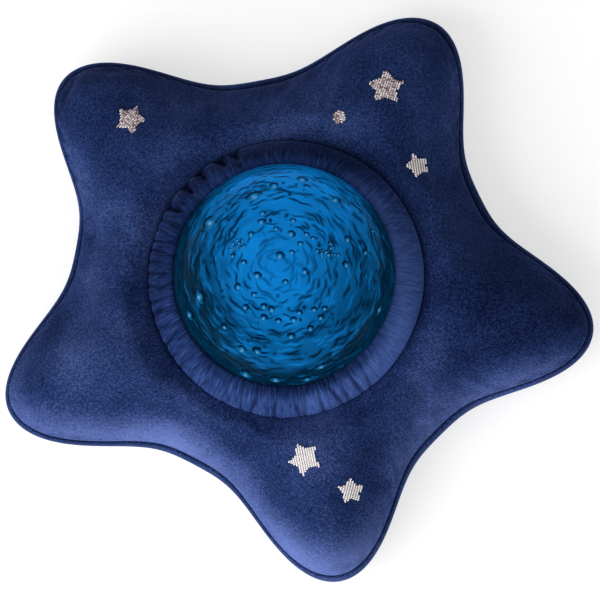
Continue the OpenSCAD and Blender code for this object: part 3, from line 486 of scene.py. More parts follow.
def velour(name, tones, stretched=False):
    mat, tree, shader = new_material(name, tones[1], 0.85, **{
        "Sheen Weight": 0.4, "Sheen Roughness": 0.35, "Sheen Tint": linear(FIBRE_TIPS),
        "Specular IOR Level": 0.05})
    coords = node(tree, "ShaderNodeTexCoord")
    place = coords.outputs["Object"]
    brush = node(tree, "ShaderNodeTexNoise",
                 {"Vector": place, "Scale": 1 / (PATCH_MM * MM), "Detail": 2.0, "Roughness": 0.5})
    pile = node(tree, "ShaderNodeAttribute", attribute_name="strip").outputs["Vector"] if stretched else place
    tuft = node(tree, "ShaderNodeTexNoise", {"Vector": pile, "Scale": 1 / (TUFT_MM * MM), "Detail": 2.0})
    # the ribs run across the star, are plainest in the brushed patches and vanish on the walls
    turned = node(tree, "ShaderNodeMapping", {"Vector": place, "Rotation": (0, 0, np.radians(RIB_TURN))})
    rib = node(tree, "ShaderNodeTexWave",
               {"Vector": turned.outputs[0], "Scale": np.pi / 10 / (RIB_MM * MM), "Distortion": 1.2,
                "Detail": 1.0, "Detail Scale": 2.0})
    rib_tone = node(tree, "ShaderNodeMath", {0: rib.outputs["Fac"], 1: 0.5}, operation="SUBTRACT")
    plain = node(tree, "ShaderNodeMapRange", {"Value": brush.outputs[0], 1: 0.42, 2: 0.66, 3: 0.03, 4: 0.26})
    normal = node(tree, "ShaderNodeSeparateXYZ", {"Vector": coords.outputs["Normal"]})
    level = node(tree, "ShaderNodeMapRange", {"Value": normal.outputs["Z"], 1: 0.5, 2: 0.85})
    ribbed = node(tree, "ShaderNodeMath", {0: plain.outputs[0], 1: level.outputs[0]}, operation="MULTIPLY")
    knit = node(tree, "ShaderNodeMath", {0: rib_tone.outputs[0], 1: ribbed.outputs[0], 2: tuft.outputs[0]},
                operation="MULTIPLY_ADD")
    # the tone is the point's kept pile tone with its painted light, changed by the knit and by the brushed
    # patches
    fine = node(tree, "ShaderNodeMapRange", {"Value": knit.outputs[0], 1: 0.19, 2: 0.81, 3: -0.2, 4: 0.2})
    brushed = node(tree, "ShaderNodeMapRange", {"Value": brush.outputs[0], 1: 0.3, 2: 0.7, 3: -0.1, 4: 0.1})
    kept_tone_and_light = node(tree, "ShaderNodeAttribute", attribute_name="nap_and_painted_light")
    tone = node(tree, "ShaderNodeMath", {0: kept_tone_and_light.outputs["Fac"], 1: fine.outputs[0]}, operation="ADD")
    tone = node(tree, "ShaderNodeMath", {0: tone.outputs[0], 1: brushed.outputs[0]}, operation="ADD")
    ramp = node(tree, "ShaderNodeValToRGB", {"Fac": tone.outputs[0]},
                stops=[(at, linear(color)) for at, color in zip((0.2, 0.42, 1.0), tones)])
    # painted shade along the seams and in the collar's folds
    seam = node(tree, "ShaderNodeAttribute", attribute_name="seam")
    shaded = node(tree, "ShaderNodeMix", {0: seam.outputs["Fac"], 6: ramp.outputs[0], 7: linear(SEAM_SHADE)},
                  data_type="RGBA")
    tree.links.new(shaded.outputs[2], shader.inputs["Base Color"])
    bump = node(tree, "ShaderNodeBump", {"Height": knit.outputs[0], "Strength": 0.35, "Distance": 0.4 * MM})
    tree.links.new(bump.outputs[0], shader.inputs["Normal"])
    return mat


star_velour = velour("navy velour", STAR_TONES)
collar_velour = velour("gathered navy velour", COLLAR_TONES, stretched=True)
finish_piece(star, "cover", ("star_top_panel", "star_bottom_panel", "stuffing"), "velour", star_velour)

# %% [markdown]
# The collar is a strip of the same velour, sewn to the star, drawn up and gathered on an elastic round
# the dome. Gathers are never even. A few deep pits sit at the far left, narrow folds follow round the
# left and the front, and on the right they almost vanish. A random rule would spread them evenly, so
# each gather has its own bearing, and only its width, depth and lean are left to chance, with a seed.

# %% Gathers of the collar
PITS = [112, 118.5, 129.5, 138, 148.5]
FOLDS = [155, 160, 164.5, 169, 174, 179, 185, 191, 196, 203, 209, 215, 221, 227, 234, 243, 250.5, 257, 266,
         275, 279, 286, 292.5, 297, 303, 309]
ring_bearing = np.arange(0, 360, 0.375)
gather_chance = np.random.default_rng(5)
pinch = np.array(PITS + FOLDS)
is_pit, count = np.isin(pinch, PITS), len(pinch)
pinch_wide = np.where(is_pit, gather_chance.uniform(1.5, 2.4, count), gather_chance.uniform(0.7, 1.2, count))
pinch_deep = np.where(is_pit, gather_chance.uniform(0.9, 1.2, count),
                      gather_chance.uniform(0.4, 0.8, count) + 0.25 * (pinch < 200))
pinch_lean = gather_chance.normal(0, 2.0, count)
pinch_mid = gather_chance.uniform(0.1, 0.35, count)
pinch_long = np.where(is_pit, 0.42, 0.52)


def gathered(u):
    """How deep the gathers pinch the strip round the ring, at a share of the way in from its seam."""
    off = (ring_bearing[:, None] - pinch - pinch_lean * (u - 0.4) + 180) % 360 - 180
    reach_in = np.exp(-((u - pinch_mid) / pinch_long) ** 2)
    return np.clip((pinch_deep * reach_in * np.exp(-(off / pinch_wide) ** 2)).sum(1), 0, 1.1)


print("pits:", len(PITS), "folds:", len(FOLDS))

# %% [markdown]
# Cut across, the collar is a bolster: a steep outside, a round lip over the elastic and a hidden inside.
# A dozen and more points give that section, and Catmull and Rom's rule makes a smooth loop of them. The
# same section goes round the ring, and the gathers push it in along its own normal.

# %% Skin of the collar
# radius, height, share of the folds, share of the gap to the dome
SECTION = np.array([
    (62.4, 44.6, 0.2, 0), (63.1, 45.6, 0.5, 0), (63.0, 47.4, 0.9, 0), (62.2, 50.0, 1.0, 0),
    (60.6, 53.0, 1.0, 0), (58.2, 56.8, 0.9, 0), (55.8, 59.5, 0.7, 0.2), (53.4, 61.0, 0.45, 0.6),
    (51.4, 61.3, 0.25, 1), (50.3, 60.4, 0.1, 1), (50.6, 58.9, 0.0, 0.8), (51.9, 57.0, 0, 0.3),
    (55.0, 53.4, 0, 0), (58.0, 48.8, 0, 0), (59.7, 45.0, 0, 0), (60.9, 44.3, 0.1, 0)])
STRIP_OUT, STRIP_WIDE, PILE_DRAWN = 63.1, 11.4, 7
FOLD_DEPTH, PIT_DEPTH, WANDER, FRONT_SAG = 1.3, 3.5, 0.5, 1.2

wander = 0.5 * np.sin(np.radians(3 * ring_bearing + 20)) + 0.35 * np.sin(np.radians(8 * ring_bearing + 75))
slack = 0.7 * np.exp(-((ring_bearing - 265) / 45) ** 2)
droop = np.exp(-((ring_bearing - 270) / 42) ** 2)
pitted = ease((ring_bearing - 104) / 6) * ease((153 - ring_bearing) / 4)
# painted light round the collar: lighter on the right, darkest at the back and left; and on the lip by the
# dome, painted shade at the front and a little painted light at the back
painted_light_round = np.interp(ring_bearing, [0, 30, 60, 100, 150, 200, 240, 270, 300, 330, 360],
                      [0.77, 0.52, 0.28, 0.21, 0.29, 0.35, 0.50, 0.48, 0.73, 0.86, 0.77])
painted_lip_light_round = np.interp(ring_bearing, [0, 30, 100, 140, 165, 210, 240, 270, 300, 330, 360],
                      [-0.06, 0.13, 0.15, 0.1, 0, -0.02, -0.15, -0.3, -0.42, -0.28, -0.06])


def smooth_loop(points, per_step):
    """A closed smooth curve through points, by Catmull and Rom's rule."""
    p0, p1, p2, p3 = (np.roll(points, s, 0)[:, None] for s in (1, 0, -1, -2))
    t = np.linspace(0, 1, per_step, endpoint=False)[None, :, None]
    curve = 0.5 * (2 * p1 + (p2 - p0) * t + (2 * p0 - 5 * p1 + 4 * p2 - p3) * t ** 2
                   + (3 * p1 - p0 - 3 * p2 + p3) * t ** 3)
    return curve.reshape(-1, points.shape[1])


section = smooth_loop(SECTION, 3)
tangent = np.roll(section[:, :2], -1, 0) - np.roll(section[:, :2], 1, 0)
outward = np.stack([tangent[:, 1], -tangent[:, 0]], 1) / np.linalg.norm(tangent, axis=1, keepdims=True)
length = np.cumsum(np.linalg.norm(np.diff(section[:, :2], axis=0, prepend=section[:1, :2]), axis=1))
collar_rings, fold_shades, collar_nap_and_painted_light, strip = [], [], [], []
for i, ((r, z, share, open_share), (out_r, out_z)) in enumerate(zip(section, outward)):
    inward = np.clip((STRIP_OUT - r) / STRIP_WIDE, 0, 1)
    crease = gathered(inward) * min(1, 2.5 * share)
    swing = -(FOLD_DEPTH + PIT_DEPTH * pitted) * crease + WANDER * share * wander
    spread = r + 0.6 * out_r * swing + slack * open_share + FRONT_SAG * droop * (1 - inward)
    collar_rings.append(ring(spread, z + out_z * swing, ring_bearing))
    # painted shade in the folds of the gathers and along the outer seam, and the painted light by bearing and
    # on the lip
    fold_shades.append(np.maximum(1.1 * crease ** 1.2, 0.3 * (i < 2)))
    collar_nap_and_painted_light.append(painted_light_round + painted_lip_light_round * ease((inward - 0.35) / 0.6))
    # the pile is drawn out along the strip, so its pattern runs slower that way
    strip.append(ring(60, length[i] / PILE_DRAWN, ring_bearing) * MM)
collar = ring_skin("gathered_velour_collar", collar_rings[::-1], loop=True)
paint(collar, "seam", np.clip(fold_shades[::-1], 0, 1))
paint(collar, "nap_and_painted_light", collar_nap_and_painted_light[::-1])
paint(collar, "strip", strip[::-1])
finish_piece(collar, "cover", ("gathered_collar", "collar_elastic"), "velour", collar_velour)

# %% [markdown]
# Under the collar a plain sleeve lines the pocket, and a rolled binding finishes the opening in the
# star's underside. Both show when the cover is lifted off for washing. They are bands held tight all
# round, so waves by a rule serve as well as a simulation: slow ones where the sleeve is tugged by its
# seams, and short puckers where the binding's thread pulls it in.

# %% Pocket sleeve
low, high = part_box("pocket_lining")
sleeve_out, sleeve_low, sleeve_high = (high.x - low.x) / 2 / MM - 0.2, low.z / MM, high.z / MM
TUG, SLEEVE_WALL, SLEEVE_ROWS = 0.35, 1.0, 12
tug = TUG * np.sin(np.radians(23 * ring_bearing + 60 * np.sin(np.radians(4 * ring_bearing))))
levels = np.linspace(sleeve_low, sleeve_high, SLEEVE_ROWS)
outline = [(sleeve_out - SLEEVE_WALL / 2, sleeve_low)] + [(sleeve_out, z) for z in levels]
outline += [(sleeve_out - SLEEVE_WALL, z) for z in np.linspace(sleeve_high, sleeve_low, SLEEVE_ROWS)]
sleeve_rings = []
for r, z in outline:
    pulled = tug * np.sin(np.pi * (z - sleeve_low) / (sleeve_high - sleeve_low))
    sleeve_rings.append(ring(r - TUG + pulled, z, ring_bearing)[::4])
sleeve = ring_skin("pocket_sleeve", sleeve_rings, loop=True)
finish_piece(sleeve, "cover", ("pocket_lining",), "velour", star_velour)

# %% [markdown]
# The binding is a folded tape, sewn over the raw edge of the opening. A torus would do from a step away,
# but the sewing thread draws it in at every stitch, so its thickness goes up and down round the ring.

# %% Binding of the opening
low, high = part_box("opening_binding")
PUCKER = 0.14
roll = (high.z - low.z) / 2 / MM
roll_r, roll_z = (high.x - low.x) / 2 / MM - roll, (high.z + low.z) / 2 / MM
pucker = PUCKER * np.sin(np.radians(90 * ring_bearing + 40 * np.sin(np.radians(7 * ring_bearing))))
thick = roll - PUCKER + pucker
binding_rings = [ring(roll_r + thick * np.cos(t), roll_z + thick * np.sin(t), ring_bearing)
                 for t in np.linspace(0, 2 * np.pi, 16, endpoint=False)]
binding = ring_skin("opening_binding_roll", binding_rings[::-1], loop=True)
finish_piece(binding, "cover", ("opening_binding",), "velour", star_velour)

# %% [markdown]
# Five small stars and a dot are embroidered in metallic thread, in zigzag rows: each stitch turns one
# way, and the next one the other way. They follow the cushion, so a ray from above finds the place and
# the normal of each on the finished surface. How much light is painted on a stitch is kept with its place.

# %% Places of the stitches
# spacing of the rows and of the stitches, turn of each stitch, turn of the rows, and height, mm
ROW, STEP, SLANT, LAY, LIFT = 1.06, 0.8, 36, -18, 0.45
NOTCH = 0.58
# how much painted light each motif's stitches get, and by how much its stitches differ
CATCH = ((0.4, 0.6), (0.5, 0.6), (1.1, 0.6), (1.4, 0.3), (1.4, 0.3), (0.4, 0.6))
surface = BVHTree.FromObject(star, bpy.context.evaluated_depsgraph_get())


def seat(p):
    """Point and normal on the cushion, in metres, below a place in mm about the dome's axis."""
    above = Vector(((p[0] + axis[0]) * MM, (p[1] + axis[1]) * MM, 0.2))
    hit, normal, _, _ = surface.ray_cast(above, Vector((0, 0, -1)))
    return hit, normal


def motif_reach(bearing, radius, turn, points=5):
    """Reach of a small star at a bearing; a dot has a turn of nothing."""
    if not turn:
        return radius
    wedge = np.radians(180 / points)
    t = abs((np.radians(bearing - turn) + wedge) % (2 * wedge) - wedge)
    tip, notch = np.array([radius, 0]), radius * NOTCH * np.array([np.cos(wedge), np.sin(wedge)])
    way = notch - tip
    return (tip[0] * way[1] - tip[1] * way[0]) / (np.cos(t) * way[1] - np.sin(t) * way[0])


places, turns, painted_sheen = [], [], []
thread_chance = np.random.default_rng(3)
for ((cx, cy), radius, turn), (caught, differ) in zip([*MOTIFS, DOT], CATCH):
    for v in np.arange(-radius, radius + 0.1, ROW):
        for k, u in enumerate(np.arange(-radius, radius + 0.1, STEP)):
            x, y = polar(np.hypot(u, v), np.degrees(np.arctan2(v, u)) + turn + LAY)
            bearing = np.degrees(np.arctan2(y, x))
            if np.hypot(x, y) < motif_reach(bearing, radius, turn) + 0.05:
                hit, normal = seat((cx + x, cy + y))
                heading = np.radians(turn + LAY + (SLANT if k % 2 else -SLANT))
                thread_way = Vector((np.cos(heading), np.sin(heading), 0))
                thread_way = (thread_way - normal * thread_way.dot(normal)).normalized()
                frame_of = Matrix((thread_way, normal.cross(thread_way), normal)).transposed()
                places.append(hit + normal * LIFT * MM)
                turns.append(frame_of.to_euler())
                painted_sheen.append(caught + differ * thread_chance.uniform(-1, 1))
print("stitches:", len(places))

# %% [markdown]
# Stitches, and later the bubbles of the dome, are copies of one small shape. Geometry Nodes lays them
# at points that carry a turn of their own. Such a tree starts with named inputs and ends by making the
# copies real, because the export drops instances. A helper opens a tree, one closes it, and one runs it
# on points and keeps the plain mesh.

# %% Helpers that lay copies
def open_tree(name, inputs):
    """A Geometry Nodes tree with named inputs, its input node, and the inputs' identifiers."""
    tree = bpy.data.node_groups.new(name, "GeometryNodeTree")
    tree.interface.new_socket("Geometry", in_out="INPUT", socket_type="NodeSocketGeometry")
    sockets = {key: tree.interface.new_socket(key, in_out="INPUT", socket_type=kind).identifier
               for key, kind in inputs.items()}
    tree.interface.new_socket("Geometry", in_out="OUTPUT", socket_type="NodeSocketGeometry")
    return tree, node(tree, "NodeGroupInput"), sockets


def close_tree(tree, given, shape, finish, **scale):
    """Lays a shape at each point by the point's turn, makes the copies real and gives them a finish."""
    turn_of = node(tree, "GeometryNodeInputNamedAttribute", {"Name": "turn"}, data_type="FLOAT_VECTOR")
    spin_of = node(tree, "FunctionNodeEulerToRotation", {"Euler": turn_of.outputs["Attribute"]})
    laid = node(tree, "GeometryNodeInstanceOnPoints", {
        "Points": given.outputs["Geometry"], "Instance": shape, "Rotation": spin_of.outputs[0], **scale})
    real = node(tree, "GeometryNodeRealizeInstances", {"Geometry": laid.outputs[0]})
    smooth = node(tree, "GeometryNodeSetShadeSmooth", {"Geometry": real.outputs[0]})
    dressed = node(tree, "GeometryNodeSetMaterial",
                   {"Geometry": smooth.outputs[0], "Material": given.outputs[finish]})
    node(tree, "NodeGroupOutput", {"Geometry": dressed.outputs[0]})


def lay_copies(name, tree, sockets, points, facts, inputs):
    """A plain mesh piece from a tree, its points with their facts, and its inputs."""
    spots = bpy.data.meshes.new(name)
    spots.from_pydata(points, [], [])
    piece = link(name, spots)
    for key, values in facts.items():
        paint(piece, key, values)
    laying = piece.modifiers.new("laying", "NODES")
    laying.node_group = tree
    for key, value in inputs.items():
        laying[sockets[key]] = value
    plain_mesh = bpy.data.meshes.new_from_object(piece.evaluated_get(bpy.context.evaluated_depsgraph_get()))
    piece.modifiers.clear()
    piece.data = plain_mesh
    return piece


print("helpers:", [helper.__name__ for helper in (open_tree, close_tree, lay_copies)])

# %% [markdown]
# Metallic embroidery thread is a foil strip wound on a core: bright, slightly rough, mauve in shade and
# almost white in light. Here that light and shade are painted, from each stitch's kept light and a fine
# noise. A fully metallic shader would go black where it mirrors nothing, and real thread doesn't,
# because its foil lies in many small facets. So it is mostly a pale colour with gloss.

# %% Metallic thread
# the foil's turns are 0.3 mm, drawn at 0.8 mm so that they show
FOIL_MM = 0.8
metal_thread, tree, shader = new_material("champagne metallic thread", "#e6d3c6", 0.34, **{
    "Metallic": 0.1, "Specular IOR Level": 0.6})
place = node(tree, "ShaderNodeTexCoord").outputs["Object"]
glint = node(tree, "ShaderNodeTexNoise", {"Vector": place, "Scale": 1 / (FOIL_MM * MM), "Detail": 1.0})
kept_tone_and_light = node(tree, "ShaderNodeAttribute", attribute_name="painted_sheen")
shine = node(tree, "ShaderNodeMath", {0: kept_tone_and_light.outputs["Fac"], 1: 0.5, 2: glint.outputs[0]},
             operation="MULTIPLY_ADD")
# painted shade in mauve and painted light in near white
ramp = node(tree, "ShaderNodeValToRGB", {"Fac": shine.outputs[0]},
            stops=((0.45, linear("#84505f")), (0.9, linear("#fffbfb"))))
tree.links.new(ramp.outputs[0], shader.inputs["Base Color"])
print("thread tones:", len(ramp.color_ramp.elements))

# %% [markdown]
# One stitch is a short fat spindle. A ball of six by six faces, stretched, is enough at this size, as
# there are hundreds of them.

# %% Stitches by Geometry Nodes
STITCH_LONG, STITCH_THICK = 1.3, 0.86
sewing, given, sewing_sockets = open_tree("lay stitches", {
    "Stitch length": "NodeSocketFloat", "Thread thickness": "NodeSocketFloat",
    "Thread": "NodeSocketMaterial"})
ball = node(sewing, "GeometryNodeMeshUVSphere", {"Segments": 6, "Rings": 6, "Radius": 0.5})
stretch = node(sewing, "ShaderNodeCombineXYZ", {
    "X": given.outputs["Stitch length"], "Y": given.outputs["Thread thickness"],
    "Z": given.outputs["Thread thickness"]})
spindle = node(sewing, "GeometryNodeTransform",
               {"Geometry": ball.outputs["Mesh"], "Scale": stretch.outputs[0]})
close_tree(sewing, given, spindle.outputs[0], "Thread")
stitches = lay_copies("embroidered_motifs", sewing, sewing_sockets, places, {"turn": turns, "painted_sheen": painted_sheen}, {
    "Stitch length": STITCH_LONG * MM, "Thread thickness": STITCH_THICK * MM, "Thread": metal_thread})
finish_piece(stitches, "cover", ("embroidered_stars",), "metallic_thread")

# %% [markdown]
# Embroidery machines first lay a dull underlay, which keeps the pile from poking through. It fills the
# gaps between the stitches, so here it is a low mound of the motif's own outline. Its cotton is matt and
# a little darker than the thread, which gives each row its edge.

# %% Underlay below the stitches
EDGE_SHARE, INNER_SHARE, EDGE_LIFT, MOUND_LIFT = 0.95, 0.2, 0.12, 0.3
# the yarn's twist is 0.3 mm, drawn at 0.8 mm so that it shows
TWIST_MM = 0.8
mound_rings, bearings = 5, np.arange(0, 360, 6.0)
n = len(bearings)
under_points, under_faces = [], []
for (cx, cy), radius, turn in [*MOTIFS, DOT]:
    start = len(under_points)
    for share in np.linspace(EDGE_SHARE, INNER_SHARE, mound_rings):
        for bearing in bearings:
            p = polar(motif_reach(bearing, radius, turn) * share, bearing)
            hit, normal = seat((cx + p[0], cy + p[1]))
            under_points.append(hit + normal * (EDGE_LIFT if share == EDGE_SHARE else MOUND_LIFT) * MM)
    for first in range(start, start + (mound_rings - 1) * n, n):
        under_faces += [(first + j, first + (j + 1) % n, first + n + (j + 1) % n, first + n + j)
                        for j in range(n)]
    under_faces.append([start + (mound_rings - 1) * n + j for j in range(n)])
under_mesh = bpy.data.meshes.new("embroidery_underlay")
under_mesh.from_pydata(under_points, [], under_faces)
under_mesh.polygons.foreach_set("use_smooth", [True] * len(under_mesh.polygons))
underlay = link("embroidery_underlay", under_mesh)

core_thread, tree, shader = new_material("cotton underlay thread", "#a8969a", 0.7)
place = node(tree, "ShaderNodeTexCoord").outputs["Object"]
twist = node(tree, "ShaderNodeTexNoise", {"Vector": place, "Scale": 1 / (TWIST_MM * MM), "Detail": 1.0})
ramp = node(tree, "ShaderNodeValToRGB", {"Fac": twist.outputs[0]},
            stops=((0.3, linear("#93828a")), (0.7, linear("#bba9ab"))))
tree.links.new(ramp.outputs[0], shader.inputs["Base Color"])
bump = node(tree, "ShaderNodeBump", {"Height": twist.outputs[0], "Strength": 0.4, "Distance": 0.2 * MM})
tree.links.new(bump.outputs[0], shader.inputs["Normal"])
finish_piece(underlay, "cover", (), "metallic_thread", core_thread)

# %% [markdown]
# The dome is moulded from blue polycarbonate. Waves run round it like rings on a pond, broken and bent.
# Each is a shallow groove painted as a dark line, or a low ridge painted as a bright one: painted shade
# and highlight for the light that the plastic bends there. The rule lays some hundreds of them at random
# places with a fixed seed, none across another, over a slow swell, and keeps each point's painted tone
# for the material.

# %% Waves of the dome
DOME_R, DOME_WALL, RIM_Z, FLANGE_R, FLANGE_T = 52.0, 2.4, 45.3, 56.5, 2.0
COLUMNS, ROWS, MARKS, SWELLS = 370, 250, 2200, 500
columns = np.arange(COLUMNS) * 360 / COLUMNS
rows = np.linspace(0, 90, ROWS + 1)[1:]
q, a = np.meshgrid(np.radians(rows), np.radians(columns), indexing="ij")
dome_chance = np.random.default_rng(11)
swell, groove, ridge = (np.zeros_like(q) for _ in range(3))
for mark in range(MARKS):
    q0 = np.arccos(1 - dome_chance.random() * (1 - np.cos(np.radians(86))))
    a0, phase, short = dome_chance.random() * 2 * np.pi, dome_chance.random() * 7, mark % 6 == 5
    tilt = dome_chance.normal(1.57 if short else 0, 0.12)
    long = dome_chance.uniform(0.7, 1.3) if short else dome_chance.uniform(1.6, 5.0)
    wide, deep = dome_chance.uniform(0.42, 0.85), dome_chance.uniform(0.6, 1.0)
    here = min(int(np.degrees(q0) / (90 / ROWS)), ROWS - 1), int(np.degrees(a0) * COLUMNS / 360) % COLUMNS
    near = np.abs(rows - np.degrees(q0)) < np.degrees((3.0 + 1.3 * long) / DOME_R)
    u = DOME_R * (q[near] - q0)
    v = DOME_R * np.sin((q[near] + q0) / 2) * ((a[near] - a0 + np.pi) % (2 * np.pi) - np.pi)
    across = u * np.cos(tilt) + v * np.sin(tilt) + 0.55 * np.sin(v / 1.3 + phase)
    along = v * np.cos(tilt) - u * np.sin(tilt)
    if mark < SWELLS:
        swell[near] += (deep - 0.8) * 0.7 * np.exp(-(across / 1.4) ** 2 / 2 - (along / 2.5) ** 2 / 2)
    elif groove[here] + ridge[here] < 0.15:
        field = groove if mark % 3 else ridge
        half_wide = wide * (0.95 + 0.2 * ease((q0 - 0.4) / 0.5))
        field[near] = np.maximum(field[near], deep * np.exp(-(along / long) ** 4 - (across / half_wide) ** 4))
calm = 0.5 + 0.5 * ease((np.degrees(q) - 8) / 16)
groove, ridge, swell = groove * calm, ridge * calm * (1 - groove), swell * calm
height = (np.clip(swell, -0.35, 0.35) - 0.08 * groove + 0.06 * ridge) * ease((88 - np.degrees(q)) / 8)
print("waves rise from", height.min().round(2), "to", height.max().round(2), "mm")

# %% [markdown]
# The shell is one closed skin: the waved outside, the flange that the ring clamps, and a smooth inside.
# The blue is painted lighter towards the back and the top, where light would gather behind it, and
# painted darker near the rim, as shade for more plastic along the line of sight. This painted light and
# shade differs round the dome, so it is kept by bearing.

# %% Dome shell
waved_r, inside_r = DOME_R + height, DOME_R - DOME_WALL
outside = np.stack([waved_r * np.sin(q) * np.cos(a), waved_r * np.sin(q) * np.sin(a),
                    RIM_Z + waved_r * np.cos(q)], -1)
flange = [ring(r, z, columns) for r, z in (
    (54.0, RIM_Z), (FLANGE_R - 0.3, RIM_Z), (FLANGE_R, RIM_Z - 0.3), (FLANGE_R, RIM_Z - FLANGE_T),
    (inside_r, RIM_Z - FLANGE_T))]
hollow = [ring(inside_r * np.sin(t), RIM_Z + inside_r * np.cos(t), columns)
          for t in np.radians(np.linspace(90, 0, 13)[:-1])]
dome = ring_skin("rippled_dome", [*outside, *flange, *hollow],
                 poles=[(0, 0, RIM_Z + DOME_R), (0, 0, RIM_Z + inside_r)])


def painted_depth_shading(q, a):
    """Painted light and shade of the blue at a place on the dome: 0 is the lightest and 1 the darkest."""
    by_bearing = 0.64 - 0.3 * np.sin(a) + 0.26 * np.cos(2 * a) - 0.08 * np.cos(a)
    steep = np.degrees(q)
    return 0.2 + (by_bearing - 0.2) * ease((steep - 8) / 42) + 0.42 * ease((steep - 54) / 14)


painted_deepness = painted_depth_shading(q, a)
# painted highlight on the swells and ridges, and painted shade in the hollows of the swell
tone = painted_deepness - (0.3 - 0.14 * painted_deepness) * np.clip(swell / 0.25, -1, 1) - ridge * (0.15 + 0.25 * painted_deepness)
unseen = np.zeros(len(dome.data.vertices) - q.size)
# the grooves carry painted shade as dark lines
paint(dome, "painted_shade_line", np.concatenate([groove.ravel(), unseen]))
paint(dome, "rim", np.concatenate([tone.ravel(), unseen + 0.5]))
print("dome points:", len(dome.data.vertices))

# %% [markdown]
# The plastic is tinted through its mass. Its outside is clear and glossy and its inside is frosted, which
# hides the lamps. The shader mixes a lit and a shaded blue by the kept painted tone, adds the painted
# highlights of the bubbles and paints the grooves dark as shade. Its gloss is low, as the photograph was
# taken in even light with nothing to mirror. Part of the blue is lit from outside, and part is a painted
# glow: a little emission stands for light that comes through the hollow dome.

# %% Blue polycarbonate
LIT_BLUE, SHADED_BLUE, GROOVE_SHADE_BLUE = "#149eff", "#04344f", "#021c34"
GLINT_BLUE, GLINT_WHITE = "#22a4ee", "#c4eeff"
LIT_SHARE, PAINTED_GLOW_SHARE = 0.38, 0.4


def tinted(name, roughness, lined):
    mat, tree, shader = new_material(name, "#1580d6", roughness, **{
        "IOR": 1.06, "Transmission Weight": 0.2, "Specular IOR Level": 0.3,
        "Specular Tint": linear("#5fa8ff"), "Emission Strength": PAINTED_GLOW_SHARE})
    rim = node(tree, "ShaderNodeAttribute", attribute_name="rim")
    body = node(tree, "ShaderNodeMix", {0: rim.outputs["Fac"], 6: linear(LIT_BLUE), 7: linear(SHADED_BLUE)},
                data_type="RGBA")
    if lined:
        glint = node(tree, "ShaderNodeAttribute", attribute_name="glint")
        shine = node(tree, "ShaderNodeValToRGB", {"Fac": glint.outputs["Fac"]},
                     stops=((0.5, linear(GLINT_BLUE)), (1.0, linear(GLINT_WHITE))))
        share = node(tree, "ShaderNodeMath", {0: glint.outputs["Fac"], 1: 1.5}, operation="MULTIPLY",
                     use_clamp=True)
        body = node(tree, "ShaderNodeMix", {0: share.outputs[0], 6: body.outputs[2], 7: shine.outputs[0]},
                    data_type="RGBA")
        painted_shade_line = node(tree, "ShaderNodeAttribute", attribute_name="painted_shade_line")
        body = node(tree, "ShaderNodeMix",
                    {0: painted_shade_line.outputs["Fac"], 6: body.outputs[2], 7: linear(GROOVE_SHADE_BLUE)}, data_type="RGBA")
    lit = node(tree, "ShaderNodeVectorMath", {0: body.outputs[2], "Scale": LIT_SHARE}, operation="SCALE")
    tree.links.new(lit.outputs[0], shader.inputs["Base Color"])
    # painted glow: emission of the same blue
    tree.links.new(body.outputs[2], shader.inputs["Emission Color"])
    return mat


blue_plastic = tinted("blue polycarbonate", 0.1, True)
frosted_blue = tinted("frosted blue polycarbonate", 0.4, False)
finish_piece(dome, "projector", ("dome_lens",), "blue_dome", blue_plastic, frosted_blue)
first_inner = (len(outside) + len(flange) - 1) * len(columns)
inner_pole = len(dome.data.polygons) - len(columns)
dome.data.polygons.foreach_set("material_index", [
    1 if face >= first_inner and len(p.vertices) == 4 or face >= inner_pole else 0
    for face, p in enumerate(dome.data.polygons)])

# %% [markdown]
# Small bubbles stand on the waves, most of them in a loose ring, and flat ovals lie near the rim. The
# photograph gives the place of each as the camera sees it, so a sight line through that place is taken
# down to the dome. Two clusters of tiny bubbles glitter like sand, and these are left to chance.

# %% Places of the bubbles
# right and up of the dome's centre as the camera sees it, and radius, mm
BUBBLES = [
    (-10.1, 28.3, 1.44), (-10.6, 24.4, 1.89), (3.3, 25.0, 1.44), (-4.0, 21.3, 1.33), (-15.3, 18.9, 1.44),
    (2.7, 18.9, 1.78), (9.4, 18.9, 1.33), (12.1, 17.1, 1.11), (6.6, 14.7, 1.33), (27.7, 16.6, 1.78),
    (-2.3, 9.3, 1.89), (3.0, 10.8, 1.33), (16.0, 10.4, 1.33), (19.3, 9.8, 1.22), (26.6, 5.5, 1.67),
    (8.8, 2.2, 1.67), (-12.3, 0.6, 1.89), (-0.1, -2.2, 1.33), (-18.4, 6.4, 1.55), (-21.2, -4.4, 1.67),
    (-14.0, -7.8, 1.33), (-17.5, -13.5, 1.44), (-9.5, -13.1, 1.55), (-6.2, -14.4, 1.55), (-9.5, -18.0, 1.67),
    (-3.1, -19.4, 1.55), (3.6, -18.9, 1.67), (6.2, -15.8, 1.44), (12.7, -14.4, 1.44), (17.3, -13.9, 1.44),
    (15.7, -18.0, 1.55), (11.0, -22.8, 1.55), (2.5, -26.2, 1.78), (-27.3, -22.0, 1.67), (-12.8, -32.7, 2.0),
    (35.4, 11.1, 1.55), (38.8, 20.8, 1.22), (-23.4, 9.4, 1.22)]
# the same, with the half length round the dome and the half width as seen
OVALS = [
    (-14.2, 36.2, 4.3, 2.0), (-5.2, 40.9, 2.5, 1.6), (7.5, 43.8, 2.9, 1.4), (22.5, 34.5, 2.5, 1.6),
    (-34.5, 24.3, 3.8, 2.3), (-18.0, -43.5, 2.9, 1.8), (-4.6, -46.0, 2.7, 1.5), (9.5, -45.9, 2.5, 1.2),
    (15.7, -40.1, 2.9, 1.2), (-37.9, -8.8, 3.4, 2.0), (-43.0, -16.9, 2.5, 1.4), (-19.3, -32.2, 2.5, 1.8),
    (41.7, -14.7, 2.5, 1.1)]
